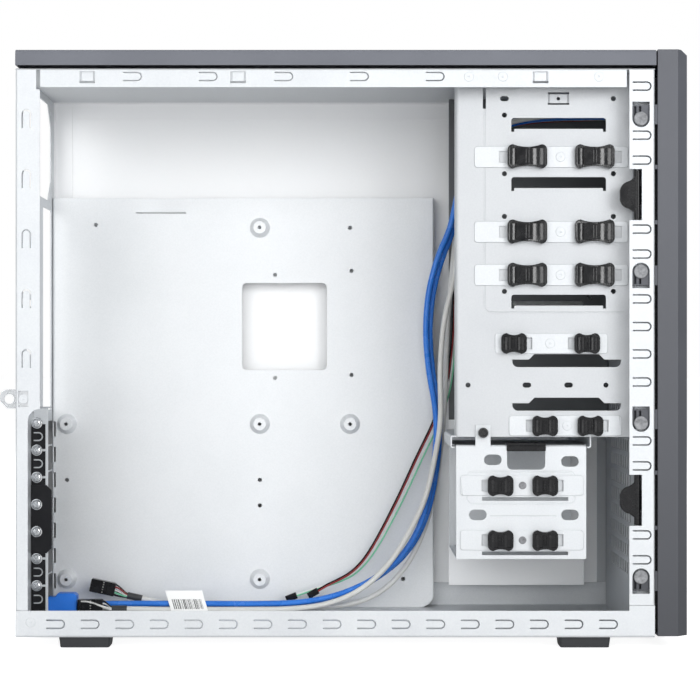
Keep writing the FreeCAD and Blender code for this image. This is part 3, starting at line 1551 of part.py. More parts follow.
def front_bezel():
    body = new_body("front_bezel")
    low = level(S.bezel_low)
    top = roof + S.cover_gap + S.cover_height
    chamfer, wall = S.bezel_chamfer, S.bezel_wall
    start = front + S.bezel_reveal
    outer = plan_sketch(body, low)
    outline(outer, (start, near), (face - chamfer, near), (face, near + chamfer), (face, far - chamfer),
            (face - chamfer, far), (start, far))
    pad(body, outer, top - low)
    inner = plan_sketch(body, top - wall)
    inner_face = face - S.bezel_front_wall
    inner_chamfer = chamfer - S.bezel_wall / 2
    outline(inner, (start - S.steel, near + wall), (inner_face - inner_chamfer, near + wall),
            (inner_face, near + wall + inner_chamfer), (inner_face, far - wall - inner_chamfer),
            (inner_face - inner_chamfer, far - wall), (start - S.steel, far - wall))
    pocket(body, inner, top - low - wall * 2)
    edge = side_sketch(body, near - S.steel)
    run, drop = S.bezel_top_run, S.bezel_top_drop
    outline(edge, (face - run, top), (face, top - drop), (face + S.steel, top - drop),
            (face + S.steel, top + S.steel), (face - run, top + S.steel))
    pocket(body, edge, S.case_width + S.steel * 2)

    openings = end_sketch(body, face + S.steel)
    half = S.bay_opening_width / 2
    for number in range(3):
        rectangle(openings, -half, bay_low(number), half, bay_low(number) + S.bay_opening_height)
    half = S.small_bay_width / 2
    rectangle(openings, S.small_bay_centre - half, level(S.small_bay_level), S.small_bay_centre + half,
              level(S.small_bay_level + S.small_bay_height))
    half = S.io_bar_width / 2
    rectangle(openings, S.io_bar_centre - half, level(S.io_bar_level), S.io_bar_centre + half,
              level(S.io_bar_level + S.io_bar_height))
    circle(openings, power_y, level(S.button_level), S.power_button_radius + S.play)
    circle(openings, reset_y, level(S.button_level), S.reset_button_radius + S.play)
    for place in (-1, 1):
        circle(openings, lens_y, level(S.button_level) + S.lens_radius * 2 * place, S.lens_radius)
    pocket(body, openings, S.bezel_front_wall + S.steel * 2)

    louvres = end_sketch(body, face + S.steel)
    half = S.vent_width / 2
    slot(louvres, -half, half, level(S.vent_level), S.vent_height)
    first = pocket(body, louvres, S.bezel_front_wall + S.steel * 2)
    row_of(body, first, "Z_Axis", S.vent_pitch * 10, 11)

    # Ears that carry the latch pins, and the hooks that hold the bezel in the front rim
    ear_near = near_wall + S.steel * 2 + S.play
    ear_far = near_wall + S.front_rim - S.steel * 2 - S.play
    pin_x = behind_front(S.latch_pin_inset)
    ear_tip = pin_x - S.latch_hub
    hook_tip = behind_front(S.hook_window_inset + S.hook_window_width - S.play * 2)
    catches = side_sketch(body, ear_near)
    roots = side_sketch(body, near_wall)
    root_end = start + S.bezel_wall
    for height in (S.upper_latch_level, S.lower_latch_level):
        for ear_low in (level(height) - S.ear_thickness, level(height + S.latch_notch_height)):
            rectangle(catches, ear_tip, ear_low, root_end, ear_low + S.ear_thickness)
            rectangle(roots, front, ear_low, root_end, ear_low + S.ear_thickness)
    hook_levels = [window[0] for window in HOOK_WINDOW_LEVELS]
    for height in hook_levels:
        hook_low = level(as_size(height)) + S.steel * 2
        hook_high = level(as_size(height)) + S.hook_window_height - S.steel * 2
        rectangle(catches, hook_tip, hook_low, root_end, hook_high)
        rectangle(roots, front, hook_low, root_end, hook_high)
    pad(body, catches, ear_far - ear_near, reverse=True)
    pad(body, roots, ear_far - near_wall, reverse=True)
    grooves = side_sketch(body, ear_near)
    for height in hook_levels:
        groove_low = level(as_size(height)) + S.steel * 3
        groove_high = level(as_size(height)) + S.hook_window_height - S.steel * 3
        for distance in (S.hook_groove_a, S.hook_groove_b):
            left = hook_tip + distance
            rectangle(grooves, left, groove_low, left + S.hook_groove, groove_high)
    pocket(body, grooves, S.hook_groove_depth)
    pins = plan_sketch(body, top)
    circle(pins, pin_x, near + S.latch_plane, S.latch_pin_radius)
    pocket(body, pins, top - low)
    return keep("front_bezel", body)


def bay_cover(label, middle, low, width, height):
    """Blanking cover with a rim and two side lugs."""
    body = new_body(label)
    half = width / 2 - S.play
    plate = end_sketch(body, face - S.bay_cover_depth)
    rounded(plate, middle - half, low + S.play, middle + half, low + height - S.play, S.steel)
    pad(body, plate, S.bay_cover_depth)
    recess = end_sketch(body, face)
    inset = S.bay_cover_depth
    rounded(recess, middle - half + inset, low + S.play + inset, middle + half - inset,
            low + height - S.play - inset, S.steel)
    pocket(body, recess, S.steel)
    for side in (-1, 1):
        edge = middle + half * side
        left, right = (edge, edge + S.steel * 2) if side < 0 else (edge - S.steel * 2, edge)
        lug_end = face - S.bay_cover_depth
        lug_low = low + height / 2 - S.bay_cover_lug / 2
        block(body, lug_end - S.bay_cover_lug, lug_end + S.steel / 2, left, right, lug_low,
              lug_low + S.bay_cover_lug)
    return keep(label, body)


def bay_covers():
    for number in range(3):
        bay_cover(f"bay_cover_{number + 1}", as_size(0.0), bay_low(number), S.bay_opening_width,
                  S.bay_opening_height)
    bay_cover("bay_cover_small", S.small_bay_centre, level(S.small_bay_level), S.small_bay_width,
              S.small_bay_height)


def front_io_module():
    body = new_body("front_io_module")
    low = level(S.io_bar_level)
    half = S.io_bar_width / 2
    inner_face = face - S.bezel_front_wall
    # Carrier behind the bezel wall, with a nose that fills the opening
    block(body, inner_face - S.io_module_depth, inner_face, S.io_bar_centre - half - S.bezel_wall,
          S.io_bar_centre + half + S.bezel_wall, low - S.bezel_wall, low + S.io_bar_height + S.bezel_wall)
    nose = end_sketch(body, inner_face - S.steel)
    rectangle(nose, S.io_bar_centre - half + S.play, low + S.play, S.io_bar_centre + half - S.play,
              low + S.io_bar_height - S.play)
    pad(body, nose, S.bezel_front_wall)
    sockets = end_sketch(body, face)
    middle = low + S.io_bar_height / 2
    half, tall = S.usb_socket_width / 2, S.usb_socket_height / 2
    for place in USB_SOCKETS:
        y = S.io_bar_centre + place
        rectangle(sockets, y - half, middle - tall, y + half, middle + tall)
    for place in JACKS:
        circle(sockets, S.io_bar_centre + place, middle, S.jack_radius)
    pocket(body, sockets, S.io_module_depth - S.steel)
    return keep("front_io_module", body)


def button(label, middle, radius):
    """Button on a guide: a wider foot behind the bezel wall keeps it in."""
    inner_face = face - S.bezel_front_wall
    cap = doc.addObject("Part::Cylinder", f"{label}_cap")
    foot = doc.addObject("Part::Cylinder", f"{label}_foot")
    start = inner_face - S.play
    for piece, size, x, length in ((cap, radius, start, face - S.button_recess - start),
                                   (foot, radius + S.steel * 1.5, start - S.steel * 2, S.steel * 2)):
        piece.Placement = FreeCAD.Placement(FreeCAD.Vector(), FreeCAD.Rotation(FreeCAD.Vector(0, 1, 0), 90))
        for prop, value in (("Radius", size), ("Height", length), ("Placement.Base.x", x),
                            ("Placement.Base.y", middle), ("Placement.Base.z", level(S.button_level))):
            piece.setExpression(prop, as_size(value).formula)
    return keep(label, joined(label, cap, foot))


def led_lenses():
    lenses = []
    for place in (-1, 1):
        lens = doc.addObject("Part::Cylinder", f"lens_{place + 2}")
        lens.Placement = FreeCAD.Placement(FreeCAD.Vector(), FreeCAD.Rotation(FreeCAD.Vector(0, 1, 0), 90))
        for prop, value in (("Radius", S.lens_radius), ("Height", S.bezel_front_wall + S.steel * 2),
                            ("Placement.Base.x", face - S.bezel_front_wall - S.steel * 2),
                            ("Placement.Base.y", lens_y),
                            ("Placement.Base.z", level(S.button_level) + S.lens_radius * 2 * place)):
            lens.setExpression(prop, as_size(value).formula)
        lenses.append(lens)
    return group("led_lenses", lenses)


def bezel_latch_pins():
    pins = []
    for height in (S.upper_latch_level, S.lower_latch_level):
        pin = doc.addObject("Part::Cylinder", f"latch_pin_{len(pins) + 1}")
        for prop, value in (("Radius", S.latch_pin_radius),
                            ("Height", S.latch_notch_height + S.ear_thickness * 2),
                            ("Placement.Base.x", behind_front(S.latch_pin_inset)),
                            ("Placement.Base.y", near + S.latch_plane),
                            ("Placement.Base.z", level(height) - S.ear_thickness)):
            pin.setExpression(prop, as_size(value).formula)
        pins.append(pin)
    return group("bezel_latch_pins", pins)


def bezel_latch(label, height):
    """Thumb lever on an upright pin: a half-round pad behind the pin, a short arm ahead of it."""
    body = new_body(label)
    x, y = behind_front(S.latch_pin_inset), near + S.latch_plane
    middle = level(height) + S.latch_notch_height / 2
    half = S.latch_pad_radius
    hub = plan_sketch(body, level(height) + S.play)
    circle(hub, x, y, S.latch_hub)
    pad(body, hub, S.latch_notch_height - S.play * 2)
    arm = plan_sketch(body, middle - half / 2)
    thin = S.latch_pad_thickness / 4
    rectangle(arm, x - S.latch_hub, y - thin, x + S.latch_arm, y + thin)
    pad(body, arm, half)
    front_face = y - S.latch_pad_thickness / 2
    thumb = side_sketch(body, front_face)
    pad_end = x - S.latch_hub / 2
    tip = pad_end - S.latch_pad_reach
    outline(thumb, (pad_end, middle + half), (tip + half / 2, middle + half * 0.75),
            (tip, middle + half / 4, half * 0.6, LEFT), (tip, middle - half / 4),
            (tip + half / 2, middle - half * 0.75, half * 0.6, LEFT), (pad_end, middle - half))
    pad(body, thumb, S.latch_pad_thickness, reverse=True)
    bore = plan_sketch(body, level(height + S.latch_notch_height))
    circle(bore, x, y, S.latch_pin_radius + S.latch_pin_run)
    pocket(body, bore, S.latch_notch_height)
    return keep(label, body)


# Leads: straight runs joined by arcs as large as the runs allow
def lead(label, diameter, points):
    """Round lead through points given as distance behind the front, distance from the open side, level."""
    places = [FreeCAD.Vector(front.value - x, near.value + y, floor.value + z) for x, y, z in points]
    edges = []
    radii = []
    cursor = places[0]
    for before, corner, after in zip(places, places[1:], places[2:]):
        into, out = corner - before, after - corner
        turn = into.getAngle(out)
        cut = 0.45 * min(into.Length, out.Length)
        radius = cut / math.tan(turn / 2)
        start = corner - into.normalize() * cut
        end = corner + out.normalize() * cut
        inward = ((start + end) / 2 - corner).normalize()
        middle = corner + inward * (radius / math.cos(turn / 2) - radius)
        edges.append(Part.LineSegment(cursor, start).toShape())
        edges.append(Part.Arc(start, middle, end).toShape())
        radii.append(radius)
        cursor = end
    edges.append(Part.LineSegment(cursor, places[-1]).toShape())
    path = Part.Wire(edges)
    ring = Part.Wire(Part.Circle(places[0], places[1] - places[0], diameter.value / 2).toShape())
    piece = doc.addObject("Part::Feature", label)
    piece.Shape = path.makePipeShell([ring], True, False)
    expected = math.pi * (diameter.value / 2) ** 2 * path.Length
    print(f"{label}: length {path.Length:.0f}, volume ratio {piece.Shape.Volume / expected:.4f}, "
          f"smallest bend {min(radii) / diameter.value:.1f} diameters")
    return keep(label, piece)


def plain_box(label, x0, x1, y0, y1, z0, z1):
    piece = doc.addObject("Part::Box", label)
    for prop, value in (("Length", x1 - x0), ("Width", y1 - y0), ("Height", z1 - z0),
                        ("Placement.Base.x", x0), ("Placement.Base.y", y0), ("Placement.Base.z", z0)):
        piece.setExpression(prop, as_size(value).formula)
    return piece


def end_of(label):
    """Where a lead ends, as sizes that follow the case."""
    x, y, z = LEAD_POINTS[label][1][-1]
    return behind_front(as_size(x)), near + y, level(as_size(z))


def placed_at(piece, place, tilt):
    """Stand a piece drawn about the origin at the end of its lead, tilted in the plane of the open side."""
    piece.Placement = FreeCAD.Placement(FreeCAD.Vector(), FreeCAD.Rotation(FreeCAD.Vector(0, 1, 0), tilt))
    for axis, size in zip("xyz", place):
        piece.setExpression(f"Placement.Base.{axis}", size.formula)
    return piece


def header_plug(label, lead_label, tilt):
    """Header plug: sleeve over the lead, a flat of short wires, and the plug body."""
    sleeve = doc.addObject("Part::Cylinder", f"{label}_sleeve")
    sleeve.Placement = FreeCAD.Placement(FreeCAD.Vector(), FreeCAD.Rotation(FreeCAD.Vector(0, 1, 0), -90))
    sleeve.setExpression("Radius", S.sleeve_radius.formula)
    sleeve.setExpression("Height", S.sleeve_length.formula)
    low = -S.sleeve_radius
    wire_end = -S.sleeve_length - S.wire_length
    half = S.plug_width / 2
    wires = plain_box(f"{label}_wires", wire_end, -S.sleeve_length, -S.wires_width / 2, S.wires_width / 2,
                      low + S.play, low + S.play + S.wires_height)
    shell = plain_box(f"{label}_shell", wire_end - S.plug_length, wire_end, -half, half, low,
                      low + S.plug_height)
    plug = doc.addObject("Part::MultiFuse", label)
    plug.Shapes = [sleeve, wires, shell]
    return keep(label, placed_at(plug, end_of(lead_label), tilt))


def usb3_plug():
    """Plug of both blue leads: a block with sloped shoulders and a lower nose."""
    x, y = end_of("usb3_cable_a")[:2]
    body = new_body("usb3_plug")
    nose_tip = x - S.usb_plug_length
    block_start = nose_tip + S.usb_plug_nose
    top, corner = deck + S.usb_plug_height, S.usb_plug_corner
    nose_top = top - S.usb_plug_step
    side = side_sketch(body, y - S.usb_plug_near)
    outline(side, (nose_tip, deck), (x, deck), (x, top - corner), (x - corner, top),
            (block_start + corner, top), (block_start, nose_top), (nose_tip, nose_top))
    pad(body, side, S.usb_plug_depth, reverse=True)
    return keep("usb3_plug", body)


def pin_plugs():
    plugs = []
    for lead_label, tilt in (("led_cable", LED_TILT), ("switch_cable", SWITCH_TILT)):
        shell = plain_box(f"{lead_label}_shell", -S.pin_plug_length, as_size(0.0), -S.pin_plug_width / 2,
                          S.pin_plug_width / 2, -S.pin_plug_height / 2, S.pin_plug_height / 2)
        turned = doc.addObject("Part::Compound", f"{lead_label}_plug")
        turned.Links = [shell]
        plugs.append(placed_at(turned, end_of(lead_label), tilt))
    return group("pin_plugs", plugs)


def cable_label():
    """Bare paper flag that stands on the floor against the nearest grey lead."""
    x, y = LEAD_POINTS["grey_cable_a"][1][-5][:2]
    lead_side = near + y - S.grey_lead / 2
    start = behind_front(as_size(x)) - S.flag_tail
    flag = plain_box("cable_label", start, start + S.flag_length, lead_side - S.flag_thickness, lead_side,
                     deck, deck + S.flag_height)
    return keep("cable_label", flag)


# Distance behind the front, distance from the open side and level of the points of each lead
LEAD_POINTS = {
    "usb3_cable_a": (S.blue_lead, (
        (-5, 148, 392), (34.25, 148, 392), (74.25, 148, 391), (109.25, 148, 383), (127.75, 148, 357),
        (134.75, 148, 328), (139.75, 148, 303), (149.25, 148, 283), (157.35, 148, 254),
        (159.65, 148, 223), (157.25, 148, 191.7), (151.75, 148, 164), (150.25, 148, 139),
        (154.25, 148, 104.9), (161.25, 148, 73.3), (175.45, 148.2, 47), (196.25, 148.8, 28.5),
        (224.25, 149.8, 15), (254.25, 150.5, 8.2), (289.25, 150.7, 7.1), (329.25, 150.7, 7.35),
        (369.25, 150.7, 7.45), (404.25, 150.7, 7.35), (433.75, 150.7, 7.1),
    )),
    "usb3_cable_b": (S.blue_lead, (
        (-5, 153.5, 392), (33.25, 153.5, 391.5), (73.25, 153.5, 390.5), (107.25, 153.5, 382),
        (125.75, 153.5, 356), (132.75, 153.5, 327), (137.25, 153.5, 301), (146.25, 153.5, 280),
        (153.75, 153.5, 252), (156.25, 153.5, 223), (154.05, 153.5, 192), (148.95, 153.5, 164),
        (147.65, 153.5, 139), (151.25, 153.5, 105), (158.25, 153.5, 74), (172.25, 153.5, 48),
        (193.25, 153.5, 29.5), (221.25, 153.4, 14.5), (251.25, 153.4, 5.6), (286.25, 153.4, 3.3),
        (324.25, 153.4, 3.3), (364.25, 153.6, 3.3), (399.25, 154.2, 3.5), (419.25, 154.4, 3.6),
        (433.75, 154.4, 3.6),
    )),
    "grey_cable_a": (S.grey_lead, (
        (-5, 142, 392), (32.25, 142, 392.5), (72.25, 142, 391), (106.25, 142, 383), (125.25, 142, 356),
        (131.75, 142, 324), (133.75, 142, 296), (136.75, 142, 264), (145.45, 142, 231.1),
        (148.65, 142, 191.7), (147.05, 142, 152.2), (152.55, 142, 120.6), (159.65, 142, 89),
        (174.25, 142, 60), (188.85, 142.3, 37.8), (209.25, 143, 19), (234.65, 145, 7.5),
        (264.25, 147.6, 3.3), (299.25, 148, 3.1), (329.25, 147.85, 3.1), (351.25, 147.8, 3.1),
        (366.25, 147.9, 3.1), (377.25, 145.2, 3.6), (387.25, 144, 3.9), (394.05, 144, 3.9),
    )),
    "grey_cable_b": (S.grey_lead, (
        (-5, 159, 392), (33.25, 159, 391.6), (73.25, 159, 390.6), (108.25, 159, 383.5),
        (127.25, 159, 357), (133.25, 159, 325), (135.75, 159, 292), (138.25, 159, 267),
        (140.75, 159, 240), (142.35, 159, 211.4), (143.15, 159, 183.8), (144.65, 159, 152.2),
        (147.05, 159, 128.5), (150.95, 159, 101), (155.75, 158.9, 78), (162.75, 158.8, 57.5),
        (173.75, 158.7, 36), (191.25, 158.6, 17), (213.35, 158.6, 6.3), (244.25, 158.6, 3.2),
        (284.25, 158.6, 3.1), (324.25, 158.6, 3.1), (354.25, 159.4, 4.6), (374.55, 161, 8.2),
        (383.95, 161, 10.2),
    )),
    "led_cable": (S.pair_lead, (
        (-5, 163.5, 392), (34.25, 163.5, 390), (74.25, 163.5, 389), (107.25, 163.5, 382),
        (126.25, 163.5, 356), (133.25, 163.5, 322), (135.25, 163.5, 287), (136.25, 163.5, 250),
        (137.25, 163.5, 214), (141.75, 163.5, 178), (152.25, 163.5, 148), (164.25, 163.5, 124),
        (176.65, 163.5, 96.2), (190.25, 163.5, 69), (200.55, 163.4, 50), (208.55, 163.3, 38),
        (217.75, 162.9, 29.2), (227.25, 162.1, 24.3), (236.25, 161.2, 21), (240.25, 161, 18.9),
        (244.25, 161, 16.6),
    )),
    "switch_cable": (S.pair_lead, (
        (-5, 166.8, 392), (33.25, 166.8, 390.6), (73.25, 166.8, 389.6), (105.75, 166.8, 382),
        (124.25, 166.8, 355), (131.75, 166.8, 322), (133.75, 166.8, 287), (134.95, 166.8, 250),
        (135.95, 166.8, 214), (139.75, 166.8, 180), (150.25, 166.8, 150), (162.25, 166.8, 126.5),
        (174.75, 166.8, 99), (188.25, 166.8, 72), (198.75, 166.7, 53), (207.25, 166.5, 41),
        (216.75, 166.1, 31.6), (227.25, 165.5, 26.2), (238.25, 164.8, 21.8), (249.75, 164.5, 17),
        (261.25, 164.5, 12.5),
    )),
}

LED_TILT = -29.9
SWITCH_TILT = -21.37
PLUG_TILT = 12.01

bottom_plate()
rear_panel()
front_panel()
top_panel()
top_cover()
right_side_panel()
motherboard_tray()
cage_near_plate()
cage_far_plate()
cage_shelf()
bay_lock_strips()
hdd_lock_strips()
lock_clips()
hdd_cage()
hdd_cage_grip()
hdd_thumbscrew()
slot_shelf()
slot_covers()
slot_bracket()
slot_screws()
padlock_loop()
chassis_rivets()
disk_rivets()
rubber_feet()
front_bezel()
bay_covers()
front_io_module()
button("power_button", power_y, S.power_button_radius)
button("reset_button", reset_y, S.reset_button_radius)
led_lenses()
bezel_latch_pins()
bezel_latch("bezel_latch_upper", S.upper_latch_level)
bezel_latch("bezel_latch_lower", S.lower_latch_level)
for label, (diameter, points) in LEAD_POINTS.items():
    lead(label, diameter, points)
usb3_plug()
header_plug("grey_plug_a", "grey_cable_a", 0.0)
header_plug("grey_plug_b", "grey_cable_b", PLUG_TILT)
pin_plugs()
cable_label()

doc.recompute()

# Nothing is written unless every object is sound and every cut has cut something
faults = [item.Label for item in doc.Objects if {"Invalid", "Error"} & set(item.State)]
for item in doc.Objects:
    if item.TypeId == "PartDesign::Pocket" and item.BaseFeature is not None:
        if item.Shape.Volume >= item.BaseFeature.Shape.Volume - 1e-6:
            faults.append(f"{item.Label} cuts nothing")
for label, piece in parts.items():
    if piece.Shape.isNull() or not piece.Shape.isValid():
        faults.append(f"{label} has no valid shape")
if faults:
    raise RuntimeError("; ".join(faults))

os.makedirs("parts", exist_ok=True)
for label, piece in parts.items():
    piece.Shape.exportStep(f"parts/{label}.step")
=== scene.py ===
"""Looks of an open tower case: the finish of every piece, the loose front leads and the small fittings."""

import math
import random

import bmesh
import bpy
from mathutils import Matrix, Vector


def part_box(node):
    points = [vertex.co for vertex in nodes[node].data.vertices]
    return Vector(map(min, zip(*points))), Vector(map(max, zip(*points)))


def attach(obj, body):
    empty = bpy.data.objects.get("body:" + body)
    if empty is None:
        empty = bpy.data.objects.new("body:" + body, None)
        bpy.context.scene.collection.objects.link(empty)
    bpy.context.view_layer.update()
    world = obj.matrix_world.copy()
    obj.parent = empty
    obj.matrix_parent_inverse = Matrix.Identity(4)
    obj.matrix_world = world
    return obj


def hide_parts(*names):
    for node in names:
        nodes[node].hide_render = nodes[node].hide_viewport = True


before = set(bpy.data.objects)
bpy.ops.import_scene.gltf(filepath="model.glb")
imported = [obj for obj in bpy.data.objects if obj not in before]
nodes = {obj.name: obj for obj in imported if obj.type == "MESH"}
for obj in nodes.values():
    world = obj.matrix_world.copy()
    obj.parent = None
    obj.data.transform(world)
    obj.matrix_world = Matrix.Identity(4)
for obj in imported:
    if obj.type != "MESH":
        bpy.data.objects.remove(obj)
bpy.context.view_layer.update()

MM = 0.001
QUARTER_TURN = math.radians(90)
FULL_TURN = 2 * math.pi
WHITE = (1, 1, 1, 1)
CHASSIS = "chassis"
HDD_CAGE = "hdd_cage"

# Camera, in the picture's own pixels
PICTURE = 700
FOCAL_PIXELS = 2092
HORIZON_ROW = 365
SENSOR = 36.0
EYE = Vector((4.4, -1600.0, 203.6)) * MM
VIEW_REACH = 100


def link(piece):
    bpy.context.scene.collection.objects.link(piece)
    return piece


def make_camera():
    lens = bpy.data.cameras.new("camera")
    lens.sensor_width = SENSOR
    lens.lens = SENSOR * FOCAL_PIXELS / PICTURE
    lens.shift_y = (HORIZON_ROW - PICTURE / 2) / PICTURE
    lens.clip_end = VIEW_REACH
    camera = link(bpy.data.objects.new("camera", lens))
    camera.location = EYE
    camera.rotation_euler = (QUARTER_TURN, 0, 0)
    bpy.context.scene.camera = camera


# Light and stage: how bright floor and backdrop are to the camera, and how bright as light
FLOOR_RADIUS = 30.0
FLOOR_SIDES = 96
FLOOR_DARK = (0.5, 0.5, 0.5)
FLOOR_PALE = (0.52, 0.52, 0.52)
FLOOR_ROUGH = (0.8, 0.9)
FLOOR_SEEN = 0.85
FLOOR_LIGHT = 0.2
SKY_SEEN = 1.0
SKY_LIGHT = 0.3
SKY_TINT = (0.93, 0.97, 1.0, 1)
LAMP_TARGET = Vector((0.0, 0.0, 0.2))
LAMPS = (
    # name, place, size, watts, whether it shows in reflections
    ("front_fill", (0.0, -3.2, 0.4), 2.0, 60.0, False),
    ("high_panel", (-0.35, -1.6, 1.75), 0.6, 5.0, False),
    ("left_panel", (-1.45, -2.5, 0.85), 1.4, 17.0, True),
    ("right_panel", (1.45, -2.5, 0.85), 1.4, 33.0, True),
    ("overhead_panel", (0.0, -0.2, 2.4), 1.6, 12.0, True),
    ("back_left_panel", (-1.6, 2.2, 1.4), 1.4, 40.0, True),
    ("back_right_panel", (1.6, 2.2, 1.4), 1.4, 40.0, True),
)


def make_light():
    """White backdrop for the camera, dimmer as light, and soft panels around the case."""
    scene = bpy.context.scene
    scene.view_settings.view_transform = "Standard"
    sky = bpy.data.worlds.new("white_studio")
    sky.use_nodes = True
    backdrop = sky.node_tree.nodes["Background"]
    ray = sky.node_tree.nodes.new("ShaderNodeLightPath")
    strength = between(sky.node_tree, ray.outputs["Is Camera Ray"], SKY_LIGHT, SKY_SEEN, 0.0, 1.0)
    feed(sky.node_tree, strength, backdrop.inputs["Strength"])
    tint = mixed_colour(sky.node_tree, ray.outputs["Is Camera Ray"], SKY_TINT, WHITE)
    feed(sky.node_tree, tint, backdrop.inputs["Color"])
    scene.world = sky
    for name, place, size, watts, reflected in LAMPS:
        lamp = bpy.data.lights.new(name, "AREA")
        lamp.shape = "SQUARE"
        lamp.size = size
        lamp.energy = watts
        holder = link(bpy.data.objects.new(name, lamp))
        holder.location = place
        aim = LAMP_TARGET - Vector(place)
        holder.rotation_euler = aim.to_track_quat("-Z", "Y").to_euler()
        holder.visible_camera = False
        holder.visible_glossy = reflected


def make_floor(finish):
    mesh = bpy.data.meshes.new("floor")
    shape = bmesh.new()
    bmesh.ops.create_circle(shape, cap_ends=True, segments=FLOOR_SIDES, radius=FLOOR_RADIUS)
    shape.to_mesh(mesh)
    shape.free()
    mesh.materials.append(finish)
    link(bpy.data.objects.new("floor", mesh))


# Short ways to write shader nodes
NUMBER = "NodeSocketFloat"
PLACE = "NodeSocketVector"
NOISE_LOW = 0.3
NOISE_HIGH = 0.7
# A Mix node's sockets for colours, which share their names with its other sockets
MIX_SHARE = 0
MIX_FIRST = 6
MIX_SECOND = 7
MIX_RESULT = 2


def add_node(tree, kind, settings=(), **inputs):
    """A node with its properties set and each named input given a value or a link."""
    node = tree.nodes.new(kind)
    for name, value in settings:
        setattr(node, name, value)
    for name, value in inputs.items():
        feed(tree, value, node.inputs[name.replace("_", " ")])
    return node


def feed(tree, value, socket):
    if isinstance(value, bpy.types.NodeSocket):
        tree.links.new(value, socket)
    else:
        socket.default_value = value


def noise(tree, place, size, detail):
    """Noise whose broadest features have about the given size in metres."""
    scale = arithmetic(tree, "DIVIDE", 1.0, size)
    texture = add_node(tree, "ShaderNodeTexNoise", Vector=place, Scale=scale, Detail=detail)
    return texture.outputs["Fac"]


def between(tree, value, low, high, start=NOISE_LOW, end=NOISE_HIGH):
    """The value's range from start to end, stretched from low to high."""
    stretch = add_node(tree, "ShaderNodeMapRange", Value=value, From_Min=start, From_Max=end, To_Min=low,
                       To_Max=high)
    return stretch.outputs["Result"]


def arithmetic(tree, operation, first, second):
    node = add_node(tree, "ShaderNodeMath", [("operation", operation)])
    feed(tree, first, node.inputs[0])
    feed(tree, second, node.inputs[1])
    return node.outputs[0]


def weighted(tree, first, second, share):
    """The sum of two values, the first by its share and the second by the rest."""
    return arithmetic(tree, "ADD", arithmetic(tree, "MULTIPLY", first, share),
                      arithmetic(tree, "MULTIPLY", second, 1 - share))


def mixed_colour(tree, share, first, second):
    node = add_node(tree, "ShaderNodeMix", [("data_type", "RGBA")])
    feed(tree, share, node.inputs[MIX_SHARE])
    feed(tree, first, node.inputs[MIX_FIRST])
    feed(tree, second, node.inputs[MIX_SECOND])
    return node.outputs[MIX_RESULT]


def effect(name, sizes, mask):
    """An empty shader group: place, sizes and range of roughness in; mask, roughness and height out."""
    tree = bpy.data.node_groups.new(name, "ShaderNodeTree")
    tree.interface.new_socket("Place", in_out="INPUT", socket_type=PLACE)
    for label in (*sizes, "Low roughness", "High roughness"):
        tree.interface.new_socket(label, in_out="INPUT", socket_type=NUMBER)
    for label in (mask, "Roughness", "Height"):
        tree.interface.new_socket(label, in_out="OUTPUT", socket_type=NUMBER)
    return tree, tree.nodes.new("NodeGroupInput").outputs, tree.nodes.new("NodeGroupOutput").inputs


CLOUD_SHARE = 0.6
CLOUD_DETAIL = 3.0
GRAIN_SHARE = 0.35
GRAIN_DETAIL = 2.0
LINE_DETAIL = 1.0
LINE_STRETCH = (0.04, 1.0, 1.0)


def sheet_grain_effect():
    """Zinc coat on rolled sheet: broad soft clouds, fine spangle and faint rolling lines."""
    tree, given, result = effect("sheet_grain", ("Cloud size", "Grain size"), "Tone")
    clouds = noise(tree, given["Place"], given["Cloud size"], CLOUD_DETAIL)
    spangle = noise(tree, given["Place"], given["Grain size"], GRAIN_DETAIL)
    stretched = add_node(tree, "ShaderNodeMapping", Vector=given["Place"], Scale=LINE_STRETCH)
    lines = noise(tree, stretched.outputs["Vector"], given["Grain size"], LINE_DETAIL)
    tone = weighted(tree, clouds, spangle, CLOUD_SHARE)
    feed(tree, between(tree, tone, 0.0, 1.0), result["Tone"])
    spread = between(tree, clouds, given["Low roughness"], given["High roughness"])
    feed(tree, spread, result["Roughness"])
    feed(tree, arithmetic(tree, "ADD", spangle, lines), result["Height"])
    return tree


def fine_skin_effect():
    """Moulded, painted or drawn surface: an even fine grain under slight patches of shade and gloss."""
    tree, given, result = effect("fine_skin", ("Grain size", "Patch size"), "Shade")
    grain = noise(tree, given["Place"], given["Grain size"], GRAIN_DETAIL)
    patches = noise(tree, given["Place"], given["Patch size"], CLOUD_DETAIL)
    shade = weighted(tree, grain, patches, GRAIN_SHARE)
    feed(tree, between(tree, shade, 0.0, 1.0), result["Shade"])
    spread = between(tree, patches, given["Low roughness"], given["High roughness"])
    feed(tree, spread, result["Roughness"])
    feed(tree, grain, result["Height"])
    return tree


SHEET_GRAIN = sheet_grain_effect()
FINE_SKIN = fine_skin_effect()

# Tones, ranges of roughness, and sizes and depths of grain in metres
ZINC_METAL = 0.4
ZINC_ROUGH = (0.42, 0.54)
ZINC_CLOUD = 0.06
ZINC_GRAIN = 0.0012
ZINC_DEPTH = 0.00002
ZINC_RELIEF = 0.25
ZINC_DARK = (0.60, 0.62, 0.645)
ZINC_LIGHT = (0.68, 0.70, 0.715)
PANEL_ZINC_ROUGH = (0.42, 0.52)
# Lighter copy of the zinc for the inside of the side panel and the low part of the bay wall: painted light
PAINTED_LIGHT_PANEL_ZINC_DARK = (0.94, 0.95, 0.96)
PAINTED_LIGHT_PANEL_ZINC_PALE = (0.97, 0.975, 0.98)
# Darker copy of the zinc for the near plate of the drive cage: painted shade
PAINTED_SHADE_PLATE_ZINC_DARK = (0.5, 0.515, 0.535)
PAINTED_SHADE_PLATE_ZINC_PALE = (0.57, 0.585, 0.6)
